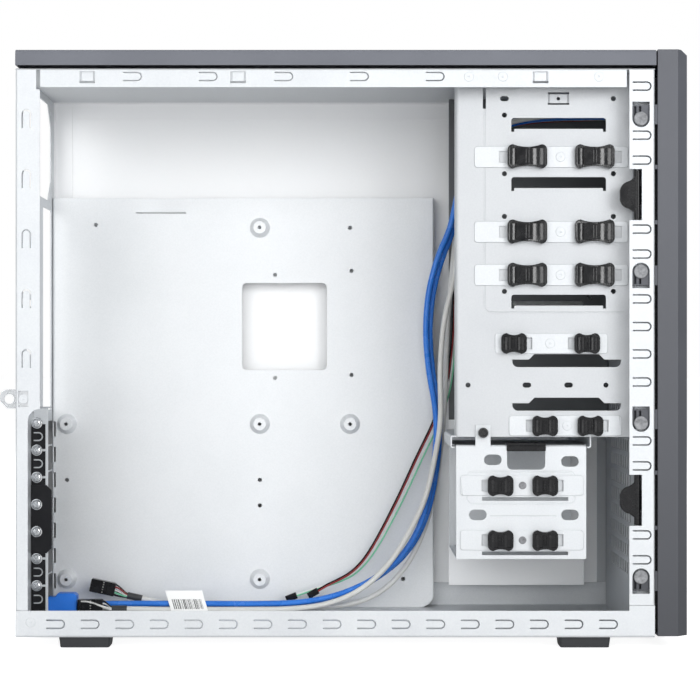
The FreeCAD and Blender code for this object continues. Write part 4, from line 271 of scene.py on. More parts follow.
# Lighter copy of the zinc for the motherboard tray: painted light
PAINTED_LIGHT_TRAY_ZINC_DARK = (0.74, 0.76, 0.775)
PAINTED_LIGHT_TRAY_ZINC_PALE = (0.82, 0.835, 0.85)
PLATING_CLOUD = 0.01
PLATING_GRAIN = 0.0005
PAINT_ROUGH = (0.58, 0.62)
PAINT_GRAIN = 0.0005
PAINT_PATCH = 0.05
PAINT_DEPTH = 0.00003
PAINT_RELIEF = 0.2
PAINT_DARK = (0.13, 0.136, 0.156)
PAINT_LIGHT = (0.157, 0.164, 0.186)
BEZEL_DARK = (0.075, 0.079, 0.092)
BEZEL_LIGHT = (0.092, 0.096, 0.111)
# Height in metres over which the painted shade at the foot of a piece fades, and level along Y where the
# side panel's paint starts
PAINTED_SHADE_FADE = 0.36
SIDE_PANEL_SKIN = 0.0995
# Where a sheet has painted light or painted shade: an axis, the level along it in metres and the painted
# tone past that level. The top of the bay wall and the inside of the front wall get painted shade, the far
# edges of the rear and top panels get painted light
BAY_WALL_PAINTED_SHADE = ("Z", 0.16, (0.13, 0.135, 0.14))
FAR_WALL_PAINTED_LIGHT = ("Y", 0.09, (0.95, 0.955, 0.965))
FRONT_WALL_PAINTED_SHADE = ("Y", -0.0985, (0.52, 0.54, 0.56))


def blank_finish(name):
    """A material with its Principled shader and the piece's own coordinates."""
    finish = bpy.data.materials.new(name)
    finish.use_nodes = True
    tree = finish.node_tree
    shader = tree.nodes["Principled BSDF"]
    place = tree.nodes.new("ShaderNodeTexCoord").outputs["Object"]
    return finish, tree, shader, place


def relief(tree, shader, height, depth, strength):
    bump = add_node(tree, "ShaderNodeBump", Height=height, Distance=depth, Strength=strength)
    tree.links.new(bump.outputs["Normal"], shader.inputs["Normal"])


def zinc_skin(tree, place, rough, cloud=ZINC_CLOUD, grain=ZINC_GRAIN):
    """What the sheet grain effect puts out for a material's own values."""
    group = add_node(tree, "ShaderNodeGroup", [("node_tree", SHEET_GRAIN)], Place=place, Cloud_size=cloud,
                     Grain_size=grain, Low_roughness=rough[0], High_roughness=rough[1])
    return group.outputs


def plain_skin(tree, place, rough, grain, patch):
    """What the fine skin effect puts out for a material's own values."""
    group = add_node(tree, "ShaderNodeGroup", [("node_tree", FINE_SKIN)], Place=place, Grain_size=grain,
                     Patch_size=patch, Low_roughness=rough[0], High_roughness=rough[1])
    return group.outputs


def along(tree, place, axis):
    return add_node(tree, "ShaderNodeSeparateXYZ", Vector=place).outputs[axis]


def sheet_metal(name, dark, light, rough=ZINC_ROUGH, metal=ZINC_METAL, cloud=ZINC_CLOUD, grain=ZINC_GRAIN,
                painted_light_and_shade=None):
    """Coated or plated metal; the last argument, when given, is an axis, a level along it and a tone of
    painted light or painted shade that starts there.
    """
    finish, tree, shader, place = blank_finish(name)
    skin = zinc_skin(tree, place, rough, cloud, grain)
    colour = mixed_colour(tree, skin["Tone"], (*dark, 1), (*light, 1))
    if painted_light_and_shade:
        axis, level, tone = painted_light_and_shade
        painted_part = arithmetic(tree, "GREATER_THAN", along(tree, place, axis), level)
        colour = mixed_colour(tree, painted_part, colour, (*tone, 1))
    feed(tree, colour, shader.inputs["Base Color"])
    feed(tree, skin["Roughness"], shader.inputs["Roughness"])
    shader.inputs["Metallic"].default_value = metal
    relief(tree, shader, skin["Height"], ZINC_DEPTH, ZINC_RELIEF)
    return finish


def skinned(name, dark, light, rough, grain, patch=0.03, depth=0.00004, strength=0.3, specular=0.5,
            painted_foot_shade=1.0):
    """Fine-skinned finish; the foot shade is the share of its colour left at the foot of a tall piece,
    painted shade that darkens it towards the bottom.
    """
    finish, tree, shader, place = blank_finish(name)
    skin = plain_skin(tree, place, rough, grain, patch)
    colour = mixed_colour(tree, skin["Shade"], (*dark, 1), (*light, 1))
    if painted_foot_shade < 1:
        rise = between(tree, along(tree, place, "Z"), 0.0, 1.0, 0.0, PAINTED_SHADE_FADE)
        painted_shade_foot = (*(tone * painted_foot_shade for tone in dark), 1)
        colour = mixed_colour(tree, rise, painted_shade_foot, colour)
    feed(tree, colour, shader.inputs["Base Color"])
    feed(tree, skin["Roughness"], shader.inputs["Roughness"])
    shader.inputs["Specular IOR Level"].default_value = specular
    relief(tree, shader, skin["Height"], depth, strength)
    return finish


def glowing_floor(name):
    """Pale floor that stays white to the camera without throwing much light back."""
    finish = skinned(name, FLOOR_DARK, FLOOR_PALE, FLOOR_ROUGH, grain=0.01, patch=0.4, depth=0.0)
    tree = finish.node_tree
    shader = tree.nodes["Principled BSDF"]
    shader.inputs["Emission Color"].default_value = WHITE
    ray = tree.nodes.new("ShaderNodeLightPath")
    glow = between(tree, ray.outputs["Is Camera Ray"], FLOOR_LIGHT, FLOOR_SEEN, 0.0, 1.0)
    feed(tree, glow, shader.inputs["Emission Strength"])
    return finish


def panel_paint(name):
    """Dark paint on the outer face, bare zinc coat on the face that looks into the case, in lighter zinc
    tones that are painted light.
    """
    finish, tree, shader, place = blank_finish(name)
    zinc = zinc_skin(tree, place, PANEL_ZINC_ROUGH)
    paint = plain_skin(tree, place, PAINT_ROUGH, PAINT_GRAIN, PAINT_PATCH)
    outside = arithmetic(tree, "GREATER_THAN", along(tree, place, "Y"), SIDE_PANEL_SKIN)
    bare_zinc_painted_light = mixed_colour(tree, zinc["Tone"], (*PAINTED_LIGHT_PANEL_ZINC_DARK, 1), (*PAINTED_LIGHT_PANEL_ZINC_PALE, 1))
    coat = mixed_colour(tree, paint["Shade"], (*PAINT_DARK, 1), (*PAINT_LIGHT, 1))
    feed(tree, mixed_colour(tree, outside, bare_zinc_painted_light, coat), shader.inputs["Base Color"])
    feed(tree, between(tree, outside, ZINC_METAL, 0.0, 0.0, 1.0), shader.inputs["Metallic"])
    rough = add_node(tree, "ShaderNodeMix", Factor=outside, A=zinc["Roughness"], B=paint["Roughness"])
    feed(tree, rough.outputs[0], shader.inputs["Roughness"])
    relief(tree, shader, paint["Height"], PAINT_DEPTH, PAINT_RELIEF)
    return finish


FINISHES = {
    "floor": glowing_floor("white_floor"),
    "zinc": sheet_metal("zinc_sheet", ZINC_DARK, ZINC_LIGHT),
    # Bay wall, far wall, front wall, drive plate and tray are zinc with painted light and painted shade in
    # their tones
    "bay_wall": sheet_metal("bay_wall_zinc_painted_light_and_shade", PAINTED_LIGHT_PANEL_ZINC_DARK, PAINTED_LIGHT_PANEL_ZINC_PALE, painted_light_and_shade=BAY_WALL_PAINTED_SHADE),
    "far_wall": sheet_metal("far_wall_zinc_painted_light", ZINC_DARK, ZINC_LIGHT, painted_light_and_shade=FAR_WALL_PAINTED_LIGHT),
    "front_wall": sheet_metal("front_wall_zinc_painted_shade", ZINC_DARK, ZINC_LIGHT, painted_light_and_shade=FRONT_WALL_PAINTED_SHADE),
    "drive_plate": sheet_metal("drive_plate_zinc_painted_shade", PAINTED_SHADE_PLATE_ZINC_DARK, PAINTED_SHADE_PLATE_ZINC_PALE),
    "tray": sheet_metal("tray_zinc_painted_light", PAINTED_LIGHT_TRAY_ZINC_DARK, PAINTED_LIGHT_TRAY_ZINC_PALE),
    "plated": sheet_metal("plated_steel", (0.74, 0.75, 0.77), (0.84, 0.85, 0.86), (0.14, 0.24), 1.0,
                          PLATING_CLOUD, PLATING_GRAIN),
    "loop": sheet_metal("loop_zinc", (0.62, 0.64, 0.66), (0.74, 0.75, 0.77), (0.24, 0.34), 0.9,
                        PLATING_CLOUD, PLATING_GRAIN),
    "pins": sheet_metal("pin_metal", (0.78, 0.76, 0.7), (0.86, 0.84, 0.78), (0.2, 0.3), 1.0,
                        PLATING_CLOUD, PLATING_GRAIN),
    "boss": skinned("boss_plastic", (0.12, 0.123, 0.13), (0.3, 0.305, 0.32), (0.3, 0.42), grain=0.0014,
                    patch=0.003, depth=0.00008, strength=0.7),
    "paint": skinned("dark_paint", PAINT_DARK, PAINT_LIGHT, PAINT_ROUGH, PAINT_GRAIN, PAINT_PATCH,
                     specular=0.2),
    # The bezel grows darker towards its foot: painted shade
    "bezel": skinned("bezel_plastic", BEZEL_DARK, BEZEL_LIGHT, (0.42, 0.52), grain=0.0004, patch=0.04,
                     painted_foot_shade=0.62),
    "clip": skinned("clip_plastic", (0.004, 0.004, 0.005), (0.009, 0.009, 0.01), (0.14, 0.26), grain=0.0012,
                    patch=0.006, depth=0.0001, strength=0.8, specular=0.9),
    "black": skinned("black_plastic", (0.005, 0.005, 0.006), (0.01, 0.01, 0.011), (0.2, 0.32), grain=0.0007,
                     patch=0.006, specular=0.35),
    "black_steel": skinned("black_coated_steel", (0.006, 0.006, 0.008), (0.012, 0.012, 0.014), (0.3, 0.42),
                           grain=0.0005, specular=0.3),
    "rubber": skinned("foot_rubber", (0.022, 0.023, 0.026), (0.032, 0.033, 0.036), (0.5, 0.65),
                      grain=0.0009),
    "sleeve": skinned("lead_sleeve", (0.035, 0.036, 0.038), (0.055, 0.056, 0.058), (0.4, 0.5),
                      grain=0.0008),
    "blue": skinned("blue_plug", (0.015, 0.17, 0.7), (0.03, 0.21, 0.78), (0.3, 0.42), grain=0.0008,
                    patch=0.02),
    "blue_lead": skinned("blue_sheath", (0.02, 0.15, 0.58), (0.035, 0.2, 0.68), (0.22, 0.32), grain=0.0008,
                         patch=0.02),
    "grey": skinned("grey_sheath", (0.6, 0.6, 0.58), (0.68, 0.68, 0.66), (0.35, 0.45), grain=0.0008,
                    patch=0.02),
    "red": skinned("red_wire", (0.22, 0.02, 0.02), (0.3, 0.03, 0.03), (0.3, 0.4), grain=0.0008),
    "green": skinned("green_wire", (0.14, 0.5, 0.3), (0.2, 0.58, 0.36), (0.3, 0.4), grain=0.0008),
    "white_wire": skinned("white_wire", (0.72, 0.73, 0.71), (0.8, 0.8, 0.78), (0.3, 0.4), grain=0.0008),
    "paper": skinned("white_paper", (0.9, 0.9, 0.89), (0.94, 0.94, 0.93), (0.6, 0.75), grain=0.0004),
    "ink": skinned("black_ink", (0.03, 0.03, 0.03), (0.05, 0.05, 0.05), (0.5, 0.6), grain=0.0004),
    "lens": skinned("light_lens", (0.62, 0.68, 0.72), (0.7, 0.75, 0.78), (0.08, 0.14), grain=0.0008),
    "side": panel_paint("side_panel_paint"),
}

# Which finish each kind of piece has, by the first entry that its name starts with; the rest is zinc sheet
NODE_FINISHES = {
    "cage_far_plate": "bay_wall",
    "motherboard_tray": "tray",
    "padlock_loop": "loop",
    "front_panel": "front_wall",
    "cage_near_plate": "drive_plate",
    "rear_panel": "far_wall",
    "top_panel": "far_wall",
    "top_cover": "paint",
    "right_side_panel": "side",
    "front_bezel": "bezel",
    "bay_cover": "bezel",
    "front_io_module": "black",
    "power_button": "bezel",
    "reset_button": "bezel",
    "led_lenses": "lens",
    "bay_clip_d": "black",
    "bay_clip_e": "black",
    "bay_clip": "clip",
    "disk_clip": "black",
    "bezel_latch_upper": "black",
    "bezel_latch_lower": "black",
    "bezel_latch_pins": "plated",
    "hdd_cage_grip": "black",
    "slot_covers": "black_steel",
    "slot_bracket": "black_steel",
    "rubber_feet": "rubber",
    "usb3_plug": "blue",
    "pin_plugs": "black",
}
EDGE_WIDTHS = {
    # millimetres, where an edge differs from that of other cut sheet
    "top_panel": 0.04,
    "bay_lock_strips": 0.4,
    "hdd_lock_strips": 0.4,
    "bay_clip": 0.3,
    "disk_clip": 0.3,
    "bezel_latch_upper": 0.5,
    "bezel_latch_lower": 0.5,
    "hdd_cage_grip": 0.5,
    "rubber_feet": 0.5,
    "usb3_plug": 0.7,
    "pin_plugs": 0.3,
}
SHEET_EDGE = 0.18
EDGE_SEGMENTS = 2
EDGE_ANGLE = math.radians(40)
FLAT_ANGLE = math.radians(0.5)
MERGE_REACH = 0.005 * MM


def listed(node, table, other):
    """The value of the first entry that the node's name starts with."""
    return next((value for start, value in table.items() if node.startswith(start)), other)


def soft_edges(piece, width):
    """Joins a node's loose triangles to whole faces and rounds its sharp edges, by modifiers."""
    weld = piece.modifiers.new("weld", "WELD")
    weld.merge_threshold = MERGE_REACH
    flat = piece.modifiers.new("whole_faces", "DECIMATE")
    flat.decimate_type = "DISSOLVE"
    flat.angle_limit = FLAT_ANGLE
    round_off = piece.modifiers.new("soft_edges", "BEVEL")
    round_off.width = width
    round_off.segments = EDGE_SEGMENTS
    round_off.limit_method = "ANGLE"
    round_off.angle_limit = EDGE_ANGLE
    round_off.use_clamp_overlap = False
    piece.modifiers.new("even_shading", "WEIGHTED_NORMAL")


def dress_nodes():
    for name, piece in nodes.items():
        piece.data.materials.clear()
        piece.data.materials.append(FINISHES[listed(name, NODE_FINISHES, "zinc")])
        soft_edges(piece, listed(name, EDGE_WIDTHS, SHEET_EDGE) * MM)


# Leads: the points of each route in millimetres
LEADS = {
    "usb3_cable_a": (
        (228.25, 48, 400), (189, 48, 400), (149, 48, 399), (114, 48, 391), (95.5, 48, 365), (88.5, 48, 336),
        (83.5, 48, 311), (74, 48, 291), (65.9, 48, 262), (63.6, 48, 231), (66, 48, 199.7), (71.5, 48, 172),
        (73, 48, 147), (69, 48, 112.9), (62, 48, 81.3), (47.8, 48.2, 55), (27, 48.8, 36.5), (-1, 49.8, 23),
        (-31, 50.5, 16.2), (-66, 50.7, 15.1), (-106, 50.7, 15.35), (-146, 50.7, 15.45), (-181, 50.7, 15.35),
        (-210.5, 50.7, 15.1)),
    "usb3_cable_b": (
        (228.25, 53.5, 400), (190, 53.5, 399.5), (150, 53.5, 398.5), (116, 53.5, 390), (97.5, 53.5, 364),
        (90.5, 53.5, 335), (86, 53.5, 309), (77, 53.5, 288), (69.5, 53.5, 260), (67, 53.5, 231),
        (69.2, 53.5, 200), (74.3, 53.5, 172), (75.6, 53.5, 147), (72, 53.5, 113), (65, 53.5, 82),
        (51, 53.5, 56), (30, 53.5, 37.5), (2, 53.4, 22.5), (-28, 53.4, 13.6), (-63, 53.4, 11.3),
        (-101, 53.4, 11.3), (-141, 53.6, 11.3), (-176, 54.2, 11.5), (-196, 54.4, 11.6),
        (-210.5, 54.4, 11.6)),
    "grey_cable_a": (
        (228.25, 42, 400), (191, 42, 400.5), (151, 42, 399), (117, 42, 391), (98, 42, 364), (91.5, 42, 332),
        (89.5, 42, 304), (86.5, 42, 272), (77.8, 42, 239.1), (74.6, 42, 199.7), (76.2, 42, 160.2),
        (70.7, 42, 128.6), (63.6, 42, 97), (49, 42, 68), (34.4, 42.3, 45.8), (14, 43, 27),
        (-11.4, 45, 15.5), (-41, 47.6, 11.3), (-76, 48, 11.1), (-106, 47.85, 11.1), (-128, 47.8, 11.1),
        (-143, 47.9, 11.1), (-154, 45.2, 11.6), (-164, 44, 11.9), (-170.8, 44, 11.9)),
    "grey_cable_b": (
        (228.25, 59, 400), (190, 59, 399.6), (150, 59, 398.6), (115, 59, 391.5), (96, 59, 365),
        (90, 59, 333), (87.5, 59, 300), (85, 59, 275), (82.5, 59, 248), (80.9, 59, 219.4), (80.1, 59, 191.8),
        (78.6, 59, 160.2), (76.2, 59, 136.5), (72.3, 59, 109), (67.5, 58.9, 86), (60.5, 58.8, 65.5),
        (49.5, 58.7, 44), (32, 58.6, 25), (9.9, 58.6, 14.3), (-21, 58.6, 11.2), (-61, 58.6, 11.1),
        (-101, 58.6, 11.1), (-131, 59.4, 12.6), (-151.3, 61, 16.2), (-160.7, 61, 18.2)),
    "led_cable": (
        (228.25, 63.5, 400), (189, 63.5, 398), (149, 63.5, 397), (116, 63.5, 390), (97, 63.5, 364),
        (90, 63.5, 330), (88, 63.5, 295), (87, 63.5, 258), (86, 63.5, 222), (81, 63.5, 186),
        (70.2, 63.5, 156), (58, 63.5, 132), (45.6, 63.5, 104.2), (32, 63.5, 77), (21.8, 63.4, 58.4),
        (13.9, 63.3, 46.8), (4.8, 62.9, 38.2), (-4.4, 62.1, 33.2), (-13, 61.2, 29.3), (-17, 61, 27),
        (-21, 61, 24.6)),
    "switch_cable": (
        (228.25, 66.8, 400), (190, 66.8, 398.6), (150, 66.8, 397.6), (117.5, 66.8, 390), (99, 66.8, 363),
        (91.5, 66.8, 330), (89.5, 66.8, 295), (88.3, 66.8, 258), (87.8, 66.8, 222), (85, 66.8, 187),
        (75, 66.8, 156.8), (63.2, 66.8, 133.2), (50.8, 66.8, 105.6), (37.2, 66.8, 78.6), (26.6, 66.7, 59.4),
        (18, 66.5, 47), (8, 66.1, 37), (-3.6, 65.5, 31.6), (-15, 64.8, 28), (-26.5, 64.5, 24.4),
        (-38, 64.5, 20.5)),
}
BLUE_LEAD = 4.6 * MM
GREY_LEAD = 4.2 * MM
PAIR_LEAD = 2.6 * MM
PAIR_TURN = 1500 * MM
STRAND_SIDES = 10
SHEATH_ROUNDING = 5
ROUTE_ORDER = 3
ROUTE_STEPS = 8
ACROSS = Vector((0, 1, 0))


def route_curve(name, points):
    """One smooth open spline with the route's points as its control points."""
    curve = bpy.data.curves.new(name, "CURVE")
    curve.dimensions = "3D"
    spline = curve.splines.new("NURBS")
    spline.points.add(len(points) - 1)
    for knot, point in zip(spline.points, points):
        knot.co = (*(Vector(point) * MM), 1.0)
    spline.order_u = ROUTE_ORDER
    spline.use_endpoint_u = True
    spline.resolution_u = ROUTE_STEPS
    return curve


def set_on(piece, body, slot, *replaced):
    """Gives a piece its body, and names the nodes that it stands for; the slot is not used."""
    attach(piece, body)
    if replaced:
        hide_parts(*replaced)
    return piece


def sheathed_lead(name, diameter, finish, slot, with_pieces):
    curve = route_curve(name, LEADS[name])
    curve.bevel_depth = diameter / 2
    curve.bevel_resolution = SHEATH_ROUNDING
    curve.use_fill_caps = True
    curve.materials.append(FINISHES[finish])
    piece = set_on(link(bpy.data.objects.new(f"{name}_sheath", curve)), CHASSIS, slot, name)


def evaluated_mesh(piece):
    """A plain mesh of a piece as its modifiers or its spline leave it."""
    return bpy.data.meshes.new_from_object(piece.evaluated_get(bpy.context.evaluated_depsgraph_get()))


def points_along(name):
    """The points of the route's smooth line, read from its spline."""
    holder = link(bpy.data.objects.new(f"{name}_route", route_curve(f"{name}_route", LEADS[name])))
    line = evaluated_mesh(holder)
    points = [vertex.co.copy() for vertex in line.vertices]
    bpy.data.objects.remove(holder)
    bpy.data.meshes.remove(line)
    return points


def heading(points, index):
    """Direction of a line of points at one of them, from the point before it to the point after."""
    return (points[min(index + 1, len(points) - 1)] - points[max(index - 1, 0)]).normalized()


def squared(direction, ahead):
    """The direction turned square to the way ahead."""
    return (direction - ahead * direction.dot(ahead)).normalized()


def tube(shape, centres, radius, sides, sideways, material=0):
    """A closed tube of rings about the centres; sideways is one direction across it for each centre."""
    turns = [FULL_TURN * side / sides for side in range(sides)]
    rings = []
    for index, centre in enumerate(centres):
        ahead = heading(centres, index)
        across = squared(sideways[index], ahead)
        up = ahead.cross(across)
        spokes = [across * radius * math.cos(turn) + up * radius * math.sin(turn) for turn in turns]
        rings.append([shape.verts.new(centre + spoke) for spoke in spokes])
    faces = [shape.faces.new(rings[0][::-1]), shape.faces.new(rings[-1])]
    for first, second in zip(rings, rings[1:]):
        for side in range(sides):
            after = (side + 1) % sides
            faces.append(shape.faces.new((first[side], first[after], second[after], second[side])))
    for face in faces:
        face.material_index = material
        face.smooth = True


def made_piece(name, shape, finishes=()):
    """A piece from a drawn shape, with its faces turned outwards and shaded smooth between sharp edges."""
    bmesh.ops.recalc_face_normals(shape, faces=shape.faces)
    mesh = bpy.data.meshes.new(name)
    shape.to_mesh(mesh)
    shape.free()
    for finish in finishes:
        mesh.materials.append(FINISHES[finish])
    mesh.shade_smooth()
    mesh.set_sharp_from_angle(angle=EDGE_ANGLE)
    return link(bpy.data.objects.new(name, mesh))


def twisted_pair(name, colours, slot):
    """Two insulated wires side by side that turn slowly about the route's line."""
    points = points_along(name)
    shape = bmesh.new()
    radius = PAIR_LEAD / 4
    travelled = 0.0
    sideways = ACROSS
    spokes = []
    for index, point in enumerate(points):
        ahead = heading(points, index)
        sideways = squared(sideways, ahead)
        if index:
            travelled += (point - points[index - 1]).length
        spokes.append(Matrix.Rotation(FULL_TURN * travelled / PAIR_TURN, 3, ahead) @ sideways)
    for number, way in enumerate((1, -1)):
        centres = [point + spoke * radius * way for point, spoke in zip(points, spokes)]
        tube(shape, centres, radius, STRAND_SIDES, spokes, number)
    piece = set_on(made_piece(f"{name}_wires", shape, colours), CHASSIS, slot, name)


# Fittings that repeat: copies of a stamp at points, made by a node tree
def stamps_tree():
    """Copies of a stamp at every point of a mesh, each turned about Y by the point's own turn."""
    tree = bpy.data.node_groups.new("stamps_at_points", "GeometryNodeTree")
    keys = {}
    for label, kind in (("Points", "NodeSocketGeometry"), ("Stamp", "NodeSocketObject"),
                        ("Finish", "NodeSocketMaterial"), ("Size", NUMBER)):
        keys[label] = tree.interface.new_socket(label, in_out="INPUT", socket_type=kind).identifier
    tree.interface.new_socket("Stamped", in_out="OUTPUT", socket_type="NodeSocketGeometry")
    given = tree.nodes.new("NodeGroupInput").outputs
    result = tree.nodes.new("NodeGroupOutput")
    stamp = add_node(tree, "GeometryNodeObjectInfo", Object=given["Stamp"])
    turn = add_node(tree, "GeometryNodeInputNamedAttribute", [("data_type", "FLOAT")], Name="turn")
    angles = add_node(tree, "ShaderNodeCombineXYZ", Y=turn.outputs["Attribute"])
    turned_by = add_node(tree, "FunctionNodeEulerToRotation", Euler=angles.outputs["Vector"])
    copies = add_node(tree, "GeometryNodeInstanceOnPoints", Points=given["Points"],
                      Instance=stamp.outputs["Geometry"], Rotation=turned_by.outputs["Rotation"],
                      Scale=given["Size"])
    whole = add_node(tree, "GeometryNodeRealizeInstances", Geometry=copies.outputs["Instances"])
    dressed = add_node(tree, "GeometryNodeSetMaterial", Geometry=whole.outputs["Geometry"],
                       Material=given["Finish"])
    feed(tree, dressed.outputs["Geometry"], result.inputs["Stamped"])
    return tree, keys


STAMPS, STAMP_KEYS = stamps_tree()


def stamped(name, stamp, places, finish, size=1.0):
    """One plain piece with the stamp at each (place, turn); the stamp itself is taken away by its maker."""
    points = bpy.data.meshes.new(f"{name}_points")
    points.from_pydata([place for place, turn in places], [], [])
    turns = points.attributes.new("turn", "FLOAT", "POINT")
    turns.data.foreach_set("value", [turn for place, turn in places])
    piece = link(bpy.data.objects.new(name, points))
    repeat = piece.modifiers.new("repeat", "NODES")
    repeat.node_group = STAMPS
    repeat[STAMP_KEYS["Stamp"]] = stamp
    repeat[STAMP_KEYS["Finish"]] = FINISHES[finish]
    repeat[STAMP_KEYS["Size"]] = size
    mesh = evaluated_mesh(piece)
    piece.modifiers.remove(repeat)
    piece.data = mesh
    mesh.name = name
    mesh.set_sharp_from_angle(angle=EDGE_ANGLE)
    bpy.data.meshes.remove(points)
    return piece


def take_away(piece):
    mesh = piece.data
    bpy.data.objects.remove(piece)
    bpy.data.meshes.remove(mesh)


LATHE_STEPS = 32
BOX_FACES = ((0, 1, 3, 2), (4, 6, 7, 5), (0, 4, 5, 1), (2, 3, 7, 6), (0, 2, 6, 4), (1, 5, 7, 3))


def turned_shape(profile):
    """Lathe shape about Y from (radius, height) pairs in millimetres; height is towards -Y."""
    shape = bmesh.new()
    angles = [FULL_TURN * step / LATHE_STEPS for step in range(LATHE_STEPS)]
    rings = []
    for radius, height in profile:
        if radius == 0:
            rings.append([shape.verts.new((0, -height * MM, 0))] * LATHE_STEPS)
        else:
            rings.append([shape.verts.new((radius * MM * math.cos(angle), -height * MM,
                                           radius * MM * math.sin(angle))) for angle in angles])
    for first, second in zip(rings, rings[1:]):
        for step in range(LATHE_STEPS):
            after = (step + 1) % LATHE_STEPS
            corners = []
            for corner in (first[step], first[after], second[after], second[step]):
                if corner not in corners:
                    corners.append(corner)
            shape.faces.new(corners)
    return shape


def box_shape(shape, low, high, material=0, matrix=Matrix()):
    """Adds a box between two corners in millimetres, set in place by the matrix."""
    corners = [shape.verts.new(matrix @ (Vector((x, y, z)) * MM))
               for x in (low[0], high[0]) for y in (low[1], high[1]) for z in (low[2], high[2])]
    for face in BOX_FACES:
        shape.faces.new([corners[corner] for corner in face]).material_index = material


def rounded(shape, width):
    """Rounds every edge of the shape by a width in millimetres."""
    bmesh.ops.bevel(shape, geom=shape.edges[:], offset=width * MM, segments=EDGE_SEGMENTS, affect="EDGES")


# Rivets and slot screws, as (radius, height) profiles in millimetres
FLAT_RIVET = ((0, 0), (3.5, 0), (3.5, 0.12), (3.25, 0.34), (0.75, 0.4), (0.5, 0.1), (0, 0.1))
DOMED_RIVET = ((0, 0), (2.8, 0), (2.8, 0.25), (2.4, 0.6), (1.7, 0.8), (1.2, 0.8), (1.0, 0.35), (0.7, 0.35),
               (0.62, 0.62), (0, 0.7))
RIVET_SEED = 5
SCREW_PROFILE = ((0, -3.0), (1.6, -3.0), (1.6, 0), (4.3, 0), (4.3, 0.45), (4.1, 0.7), (3.45, 0.8),
                 (3.4, 1.5), (2.9, 2.1), (1.9, 2.5), (0, 2.65))
RECESS_REACH = 2.3
RECESS_WIDTH = 0.55
RECESS_FLOOR = 0.9
RECESS_TOP = 9.0
SCREW_ROW = 7
SCREW_PITCH = 20.32
SCREW_SEED = 11


def crossed(piece):
    """Cuts a cross recess into the top of a turned head."""
    for reach_x, reach_z in ((RECESS_REACH, RECESS_WIDTH), (RECESS_WIDTH, RECESS_REACH)):
        shape = bmesh.new()
        box_shape(shape, (-reach_x, -RECESS_TOP, -reach_z), (reach_x, -RECESS_FLOOR, reach_z))
        cutter = made_piece("recess_cutter", shape)
        cut = piece.modifiers.new("recess", "BOOLEAN")
        cut.operation = "DIFFERENCE"
        cut.object = cutter
        mesh = evaluated_mesh(piece)
        piece.modifiers.remove(cut)
        old = piece.data
        piece.data = mesh
        bpy.data.meshes.remove(old)
        take_away(cutter)


def islands(node):
    """Middle of the seat, on the far side in Y, of every separate solid of a node, in order of place."""
    shape = bmesh.new()
    shape.from_mesh(nodes[node].data)
    bmesh.ops.remove_doubles(shape, verts=shape.verts, dist=MERGE_REACH)
    waiting = set(shape.verts)
    seats = []
    while waiting:
        front = [waiting.pop()]
        found = list(front)
        while front:
            vertex = front.pop()
            for edge in vertex.link_edges:
                other = edge.other_vert(vertex)
                if other in waiting:
                    waiting.remove(other)
                    front.append(other)
                    found.append(other)
        xs, ys, zs = zip(*(vertex.co for vertex in found))
        seats.append(Vector(((min(xs) + max(xs)) / 2, max(ys), (min(zs) + max(zs)) / 2)))
    shape.free()
    return sorted(seats, key=tuple)


def make_rivets():
    turns = random.Random(RIVET_SEED)
    for node, body, profile, finish in (("chassis_rivets", CHASSIS, FLAT_RIVET, "zinc"),
                                        ("hdd_cage_rivets", HDD_CAGE, DOMED_RIVET, "boss")):
        stamp = made_piece("rivet_stamp", turned_shape(profile))
        places = [(seat, turns.uniform(0, math.pi)) for seat in islands(node)]
        set_on(stamped(f"{node}_set", stamp, places, finish), body, "zinc_steel", node)
        take_away(stamp)


def make_slot_screws():
    """Plated pan screws; the two in the bracket sit higher by its thickness."""
    turns = random.Random(SCREW_SEED)
    stamp = made_piece("screw_stamp", turned_shape(SCREW_PROFILE))
    crossed(stamp)
    low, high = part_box("slot_screws")
    bracket_low, bracket_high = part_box("slot_bracket")
    x = (low.x + high.x) / 2
    radius = (high.x - low.x) / 2
    places = []
    for number in range(SCREW_ROW):
        z = low.z + radius + number * SCREW_PITCH * MM
        held = bracket_low.z < z < bracket_high.z
        seat = bracket_low.y if held else bracket_high.y
        places.append((Vector((x, seat, z)), turns.uniform(0, QUARTER_TURN)))
    set_on(stamped("slot_screws_plated", stamp, places, "plated"), CHASSIS, "zinc_steel", "slot_screws")
    take_away(stamp)


# Thumbscrew: the knob's profile, and the corners of one grip rib
KNOB_RADIUS = 3.35
KNOB_HEIGHT = 4.5
KNOB_PROFILE = ((0, -4.4), (1.7, -4.4), (1.7, 0), (3.3, 0), (KNOB_RADIUS, 0.5), (KNOB_RADIUS, 3.9),
                (2.9, KNOB_HEIGHT), (2.2, KNOB_HEIGHT), (1.9, 3.1), (0, 3.1))
KNOB_RIBS = 24
RIB_LOW = (-0.26, -4.0, -0.3)
RIB_HIGH = (0.26, -0.3, 0.4)


def make_thumbscrew():
    low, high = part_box("hdd_thumbscrew")
    centre = Vector(((low.x + high.x) / 2, low.y + KNOB_HEIGHT * MM, (low.z + high.z) / 2))
    shape = turned_shape(KNOB_PROFILE)
    bmesh.ops.translate(shape, verts=shape.verts, vec=centre)
    knob = made_piece("hdd_thumbscrew_knob", shape, ["clip"])
    set_on(knob, HDD_CAGE, "black_plastic", "hdd_thumbscrew")
    shape = bmesh.new()
    box_shape(shape, RIB_LOW, RIB_HIGH)
    stamp = made_piece("rib_stamp", shape)
    places = []
    for rib in range(KNOB_RIBS):
        angle = FULL_TURN * rib / KNOB_RIBS
        offset = Vector((math.sin(angle), 0, math.cos(angle))) * KNOB_RADIUS * MM
        places.append((centre + offset, angle))
    set_on(stamped("hdd_thumbscrew_ribs", stamp, places, "clip"), HDD_CAGE, "black_plastic")
    take_away(stamp)


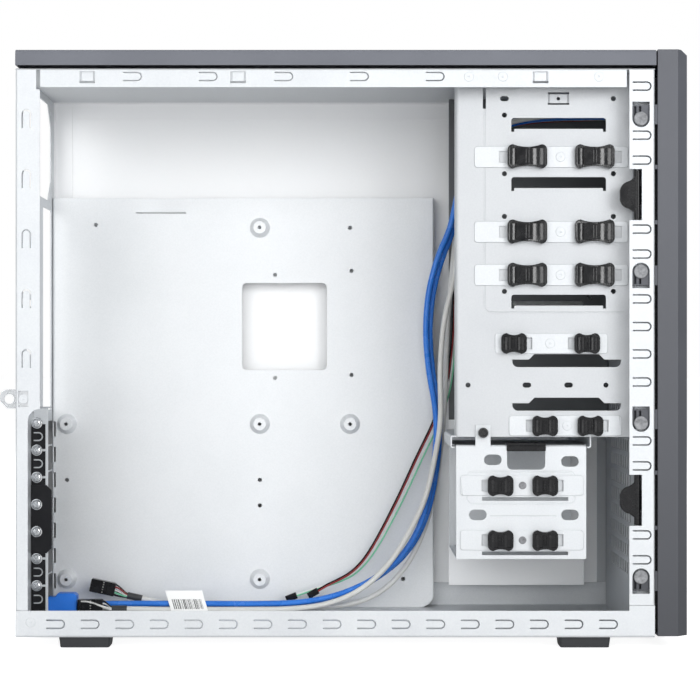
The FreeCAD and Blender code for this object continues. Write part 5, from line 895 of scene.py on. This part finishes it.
# Lock clips: steel tails of the small ones and raised pads of the large ones
LARGE_CLIPS = [name for name in nodes if name.startswith(("bay_clip_a", "bay_clip_b", "bay_clip_c"))]
SMALL_CLIPS = {
    # small clip, the way it slides along X
    "bay_clip_d_rear": 1,
    "bay_clip_d_front": -1,
    "bay_clip_e_rear": -1,
    "bay_clip_e_front": 1,
    "disk_clip_a_rear": -1,
    "disk_clip_a_front": 1,
    "disk_clip_b_rear": -1,
    "disk_clip_b_front": 1,
}
TAIL_START = 3.0
TAIL_END = 14.6
TAIL_HALF = 4.9
TAIL_DEPTH = 0.5
CLIP_FOOT = 1.5


def make_clip_tails():
    """Flat steel tail on the foot of each small clip, behind the slot that it slides in."""
    for name, way in SMALL_CLIPS.items():
        low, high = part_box(name)
        middle = (low + high) / (2 * MM)
        face = high.y / MM - CLIP_FOOT
        left, right = sorted((middle.x + way * TAIL_START, middle.x + way * TAIL_END))
        shape = bmesh.new()
        box_shape(shape, (left, face, middle.z - TAIL_HALF),
                  (right, face + TAIL_DEPTH, middle.z + TAIL_HALF))
        set_on(made_piece(f"{name}_tail", shape, ["zinc"]), name, "zinc_steel")


PAD_REACH_REAR = 8.4
PAD_REACH_FRONT = 3.8
PAD_HALF_HEIGHT = 6.05
PAD_PROUD = 0.12
PAD_DEPTH = 2.3
PAD_EDGE = 0.35
CLIP_RIB_RISE = 0.6


def make_clip_pads():
    """The raised middle of each large clip, flush with its rim between the two thumb rests."""
    for name in LARGE_CLIPS:
        low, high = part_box(name)
        middle = (low + high) / 2 / MM
        front = low.y / MM + CLIP_RIB_RISE - PAD_PROUD
        shape = bmesh.new()
        box_shape(shape, (middle.x - PAD_REACH_REAR, front, middle.z - PAD_HALF_HEIGHT),
                  (middle.x + PAD_REACH_FRONT, front + PAD_DEPTH, middle.z + PAD_HALF_HEIGHT))
        rounded(shape, PAD_EDGE)
        set_on(made_piece(f"{name}_pad", shape, ["black"]), name, "black_plastic")


# Bezel: ridges of its latches, bosses of its hooks, the foam behind it and strips of painted shade in the
# gaps at its edges
LATCH_RIDGES = 9
LATCH_FACE = 0.7
RIDGE_PITCH = 2.2
RIDGE_INSET = 9.6
RIDGE_LOW = (-1.1, -0.35, -0.4)
RIDGE_HIGH = (1.1, 0.6, 0.4)


def make_latch_ridges():
    """Short grip ridges down each latch's thumb pad."""
    shape = bmesh.new()
    box_shape(shape, RIDGE_LOW, RIDGE_HIGH)
    stamp = made_piece("ridge_stamp", shape)
    for name in ("bezel_latch_upper", "bezel_latch_lower"):
        low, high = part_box(name)
        face = low.y + LATCH_FACE * MM
        middle = (low.z + high.z) / 2
        first = middle - RIDGE_PITCH * (LATCH_RIDGES - 1) / 2 * MM
        places = [(Vector((low.x + RIDGE_INSET * MM, face, first + RIDGE_PITCH * number * MM)), 0.0)
                  for number in range(LATCH_RIDGES)]
        set_on(stamped(f"{name}_ridges", stamp, places, "black"), name, "black_plastic")
    take_away(stamp)


WINDOW_MIDDLE = 213.25
WINDOW_HALF = 6.2
WINDOW_HEIGHT = 18.2
HOOK_WINDOWS = (
    # low end of each window, whether its round end is the lower one
    (374.3, True),
    (258.8, False),
    (155.6, True),
    (39.4, False),
)
BOSS_PROFILE = ((0, -0.3), (5.0, -0.3), (5.0, 0.7), (4.5, 1.15), (1.2, 1.15), (0.9, 0.9), (0, 0.9))
HOOK_FACE = -97.7


def make_hook_bosses():
    """Round bosses on the bezel's hooks, seen in the round end of each hook window."""
    stamp = made_piece("boss_stamp", turned_shape(BOSS_PROFILE))
    places = []
    for level, round_low in HOOK_WINDOWS:
        centre = level + WINDOW_HALF if round_low else level + WINDOW_HEIGHT - WINDOW_HALF
        places.append((Vector((WINDOW_MIDDLE, HOOK_FACE, centre)) * MM, 0.0))
    set_on(stamped("bezel_hook_bosses", stamp, places, "boss"), CHASSIS, "dark_paint")
    take_away(stamp)


FILTER_PLACE = (242.3, 244.3)
FILTER_HALF = 76.0
FILTER_LEVELS = (30.0, 182.0)


def make_front_filter():
    """Dark foam sheet on the inside of the bezel, behind its louvres."""
    shape = bmesh.new()
    box_shape(shape, (FILTER_PLACE[0], -FILTER_HALF, FILTER_LEVELS[0]),
              (FILTER_PLACE[1], FILTER_HALF, FILTER_LEVELS[1]))
    set_on(made_piece("front_filter", shape, ["black"]), CHASSIS, "black_plastic")


# Dark strips that stand in as painted shade in the gaps beside the bezel
GAP_SHADE_DEPTH = (223.2, 225.2)
GAP_SHADE_SIDES = ((-94.5, -91.0), (93.0, 96.5))
GAP_SHADE_LEVELS = (14.0, 410.0)


def make_front_gap_shade():
    """Dark strips between the front wall and the edges of the bezel: painted shade in the gaps there."""
    shape = bmesh.new()
    for near, far in GAP_SHADE_SIDES:
        box_shape(shape, (GAP_SHADE_DEPTH[0], near, GAP_SHADE_LEVELS[0]), (GAP_SHADE_DEPTH[1], far, GAP_SHADE_LEVELS[1]))
    set_on(made_piece("front_seals", shape, ["black"]), CHASSIS, "black_plastic")


# Header plugs, in millimetres from the end of the lead, with the plug towards -X
SLEEVE_LENGTH = 11.8
SLEEVE_RADIUS = 2.8
SLEEVE_SIDES = 20
SLEEVE_RINGS = (0, 0.04, 0.5, 0.96, 1)
SHELL_START = -18.9
SHELL_END = -38.6
SHELL_HALF = 3.5
SHELL_LOW = -2.8
SHELL_HIGH = 7.6
SHELL_EDGE = 0.45
PIN_COLUMN = -28.4
PIN_LEVELS = (-1.2, 0.9, 2.9, 4.9, 6.6)
PIN_HALF_WIDTH = 0.5
PIN_HALF_HEIGHT = 0.45
PIN_PROUD = 0.12
PIN_SUNK = 0.3
WIRE_RADIUS = 0.62
WIRE_SIDES = 8
WIRE_STEPS = 12
WIRE_ACROSS = Vector((0, 1, 0.2))
WIRE_ROWS = (-1.3, 1.3)
WIRE_MARGIN = 1.2
WIRE_SUNK = 0.4
ROOT_SUNK = 0.8
ROOT_SHARE = 0.8
ROOT_PITCH = 0.7
BOW_SIDEWAYS = 0.6
BOW_UPWARDS = 0.5
CROSSING_WIRES = (
    # start, with X from the end of the sleeve, and end, with X from the end of the shell
    ((0.6, -1.8, 0.6), (3.0, -4.3, 6.4)),
    ((0.6, -1.8, -0.4), (5.0, -4.3, 6.4)),
)
CROSSING_BOW = (0, -2.0, 0.8)
PLUG_TILT = math.radians(12.01)
PLUG_FINISHES = ("black", "sleeve", "pins", "grey", "green", "red")
PLUGS = {
    # tilt, shift of the shell, finishes of the near wires from low to high, whether two cross the shell
    "grey_plug_a": (0.0, 0.0, ("black", "grey", "black", "grey", "black"), True),
    "grey_plug_b": (PLUG_TILT, -3.5, ("black", "green", "grey", "red", "black"), False),
}


def wire(shape, start, end, bow, finish, matrix):
    """A short wire from start to end that leaves both level and bows by the given offset half way."""
    centres = []
    for step in range(WIRE_STEPS + 1):
        share = step / WIRE_STEPS
        eased = share * share * (3 - 2 * share)
        point = Vector((start[0] + (end[0] - start[0]) * share, start[1] + (end[1] - start[1]) * eased,
                        start[2] + (end[2] - start[2]) * eased))
        point += Vector(bow) * math.sin(math.pi * share)
        centres.append(matrix @ (point * MM))
    tube(shape, centres, WIRE_RADIUS * MM, WIRE_SIDES, [WIRE_ACROSS] * len(centres),
         PLUG_FINISHES.index(finish))


def header_plug(name):
    """Shell with its pins, the sleeve on the end of the lead and the loose wires between them."""
    tilt, shift, colours, crossing = PLUGS[name]
    start = SHELL_START + shift
    end = SHELL_END + shift
    column = PIN_COLUMN + shift
    lead = name.replace("plug", "cable")
    matrix = Matrix.Translation(Vector(LEADS[lead][-1]) * MM) @ Matrix.Rotation(tilt, 4, "Y")
    shape = bmesh.new()
    box_shape(shape, (end, -SHELL_HALF, SHELL_LOW), (start, SHELL_HALF, SHELL_HIGH), 0, matrix)
    rounded(shape, SHELL_EDGE)
    for level in PIN_LEVELS:
        box_shape(shape, (column - PIN_HALF_WIDTH, -SHELL_HALF - PIN_PROUD, level - PIN_HALF_HEIGHT),
                  (column + PIN_HALF_WIDTH, -SHELL_HALF + PIN_SUNK, level + PIN_HALF_HEIGHT),
                  PLUG_FINISHES.index("pins"), matrix)
    sleeve = [matrix @ Vector((-SLEEVE_LENGTH * share * MM, 0, 0)) for share in SLEEVE_RINGS]
    tube(shape, sleeve, SLEEVE_RADIUS * MM, SLEEVE_SIDES, [ACROSS] * len(sleeve),
         PLUG_FINISHES.index("sleeve"))
    loose = random.Random(name)
    spread = (SHELL_HIGH - SHELL_LOW - 2 * WIRE_MARGIN) / (len(colours) - 1)
    middle = len(colours) // 2
    for side in WIRE_ROWS:
        for number, colour in enumerate(colours):
            level = SHELL_LOW + WIRE_MARGIN + spread * number
            root = (-SLEEVE_LENGTH + ROOT_SUNK, side * ROOT_SHARE, (number - middle) * ROOT_PITCH)
            bow = (0, loose.uniform(-BOW_SIDEWAYS, BOW_SIDEWAYS), loose.uniform(-BOW_UPWARDS, BOW_UPWARDS))
            finish = colour if side < 0 else "black"
            wire(shape, root, (start - WIRE_SUNK, side, level), bow, finish, matrix)
    if crossing:
        for (root_x, *root), (tip_x, *tip) in CROSSING_WIRES:
            wire(shape, (root_x - SLEEVE_LENGTH, *root), (end + tip_x, *tip), CROSSING_BOW, "grey", matrix)
    piece = made_piece(f"{name}_wired", shape, PLUG_FINISHES)
    return set_on(piece, CHASSIS, "black_plastic", name)


# Paper flag on the leads
FLAG_LEAN = -5.0
BAR_LOW = 2.6
BAR_HIGH = 10.4
BAR_MARGIN = 3.0
BAR_PROUD = 0.04
BAR_SUNK = 0.05
BAR_WIDTHS = (0.25, 0.25, 0.5, 0.75)
BAR_GAPS = (0.3, 0.3, 0.55, 0.8)
BAR_SEED = 23


def paper_flag():
    """Leaning paper flag with a row of bars that stand for no code."""
    low, high = (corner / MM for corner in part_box("cable_label"))
    height = high.z - low.z
    lean = Matrix.Identity(4)
    lean[0][2] = FLAG_LEAN / height
    matrix = Matrix.Translation(Vector((low.x - FLAG_LEAN, low.y, low.z)) * MM) @ lean
    length = high.x - low.x + FLAG_LEAN
    shape = bmesh.new()
    box_shape(shape, (0, 0, 0), (length, high.y - low.y, height), 0, matrix)
    bars = random.Random(BAR_SEED)
    x = BAR_MARGIN
    while x < length - BAR_MARGIN:
        width = bars.choice(BAR_WIDTHS)
        box_shape(shape, (x, -BAR_PROUD, BAR_LOW), (x + width, BAR_SUNK, BAR_HIGH), 1, matrix)
        x += width + bars.choice(BAR_GAPS)
    piece = made_piece("cable_label_paper", shape, ("paper", "ink"))
    return set_on(piece, CHASSIS, "white_paper", "cable_label")


# Sockets of the front connector module
SOCKET_ROWS = (-14.0, 6.0)
JACK_ROWS = (32.0, 48.0)
SOCKET_LEVEL = 400.0
SOCKET_FACE = 246.3
SOCKET_HALF = (6.5, 3.5)
SOCKET_WALL = 0.35
SOCKET_DEPTH = 9.0
TONGUE_HALF = 5.4
TONGUE_LOW = 0.4
TONGUE_HIGH = 2.4
TONGUE_INSET = 0.8
JACK_PROFILE = ((1.75, -6.0), (3.0, -6.0), (3.0, 0.1), (2.6, 0.35), (2.0, 0.35), (1.75, 0.1), (1.75, -6.0))


def make_sockets():
    """Two plated sockets with blue tongues, and the rings of two round jacks."""
    shape = bmesh.new()
    back = SOCKET_FACE - SOCKET_DEPTH
    half_y, half_z = SOCKET_HALF
    for y in SOCKET_ROWS:
        for side in (-1, 1):
            edge = y + side * half_y
            near, far = sorted((edge, edge - side * SOCKET_WALL))
            box_shape(shape, (back, near, SOCKET_LEVEL - half_z), (SOCKET_FACE, far, SOCKET_LEVEL + half_z))
            edge = SOCKET_LEVEL + side * half_z
            low, high = sorted((edge, edge - side * SOCKET_WALL))
            box_shape(shape, (back, y - half_y, low), (SOCKET_FACE, y + half_y, high))
        box_shape(shape, (back, y - TONGUE_HALF, SOCKET_LEVEL + TONGUE_LOW),
                  (SOCKET_FACE - TONGUE_INSET, y + TONGUE_HALF, SOCKET_LEVEL + TONGUE_HIGH), 1)
    piece = made_piece("front_io_sockets", shape, ("plated", "blue"))
    set_on(piece, CHASSIS, "zinc_steel")
    shape = turned_shape(JACK_PROFILE)
    bmesh.ops.remove_doubles(shape, verts=shape.verts, dist=MERGE_REACH)
    stamp = made_piece("jack_stamp", shape)
    stamp.data.transform(Matrix.Rotation(QUARTER_TURN, 4, "Z"))
    places = [(Vector((SOCKET_FACE, y, SOCKET_LEVEL)) * MM, 0.0) for y in JACK_ROWS]
    set_on(stamped("front_io_jacks", stamp, places, "plated"), CHASSIS, "zinc_steel")
    take_away(stamp)


def make_leads():
    blue_plug = [nodes["usb3_plug"]]
    flag = paper_flag()
    sheathed_lead("usb3_cable_a", BLUE_LEAD, "blue_lead", "blue_plastic", blue_plug)
    sheathed_lead("usb3_cable_b", BLUE_LEAD, "blue_lead", "blue_plastic", blue_plug)
    sheathed_lead("grey_cable_a", GREY_LEAD, "grey", "grey_plastic", [header_plug("grey_plug_a"), flag])
    sheathed_lead("grey_cable_b", GREY_LEAD, "grey", "grey_plastic", [header_plug("grey_plug_b")])
    twisted_pair("led_cable", ("red", "black"), "red_plastic")
    twisted_pair("switch_cable", ("green", "white_wire"), "green_plastic")


make_camera()
make_light()
make_floor(FINISHES["floor"])
dress_nodes()
make_leads()
make_rivets()
make_slot_screws()
make_thumbscrew()
make_clip_pads()
make_clip_tails()
make_latch_ridges()
make_hook_bosses()
make_front_filter()
make_front_gap_shade()
make_sockets()
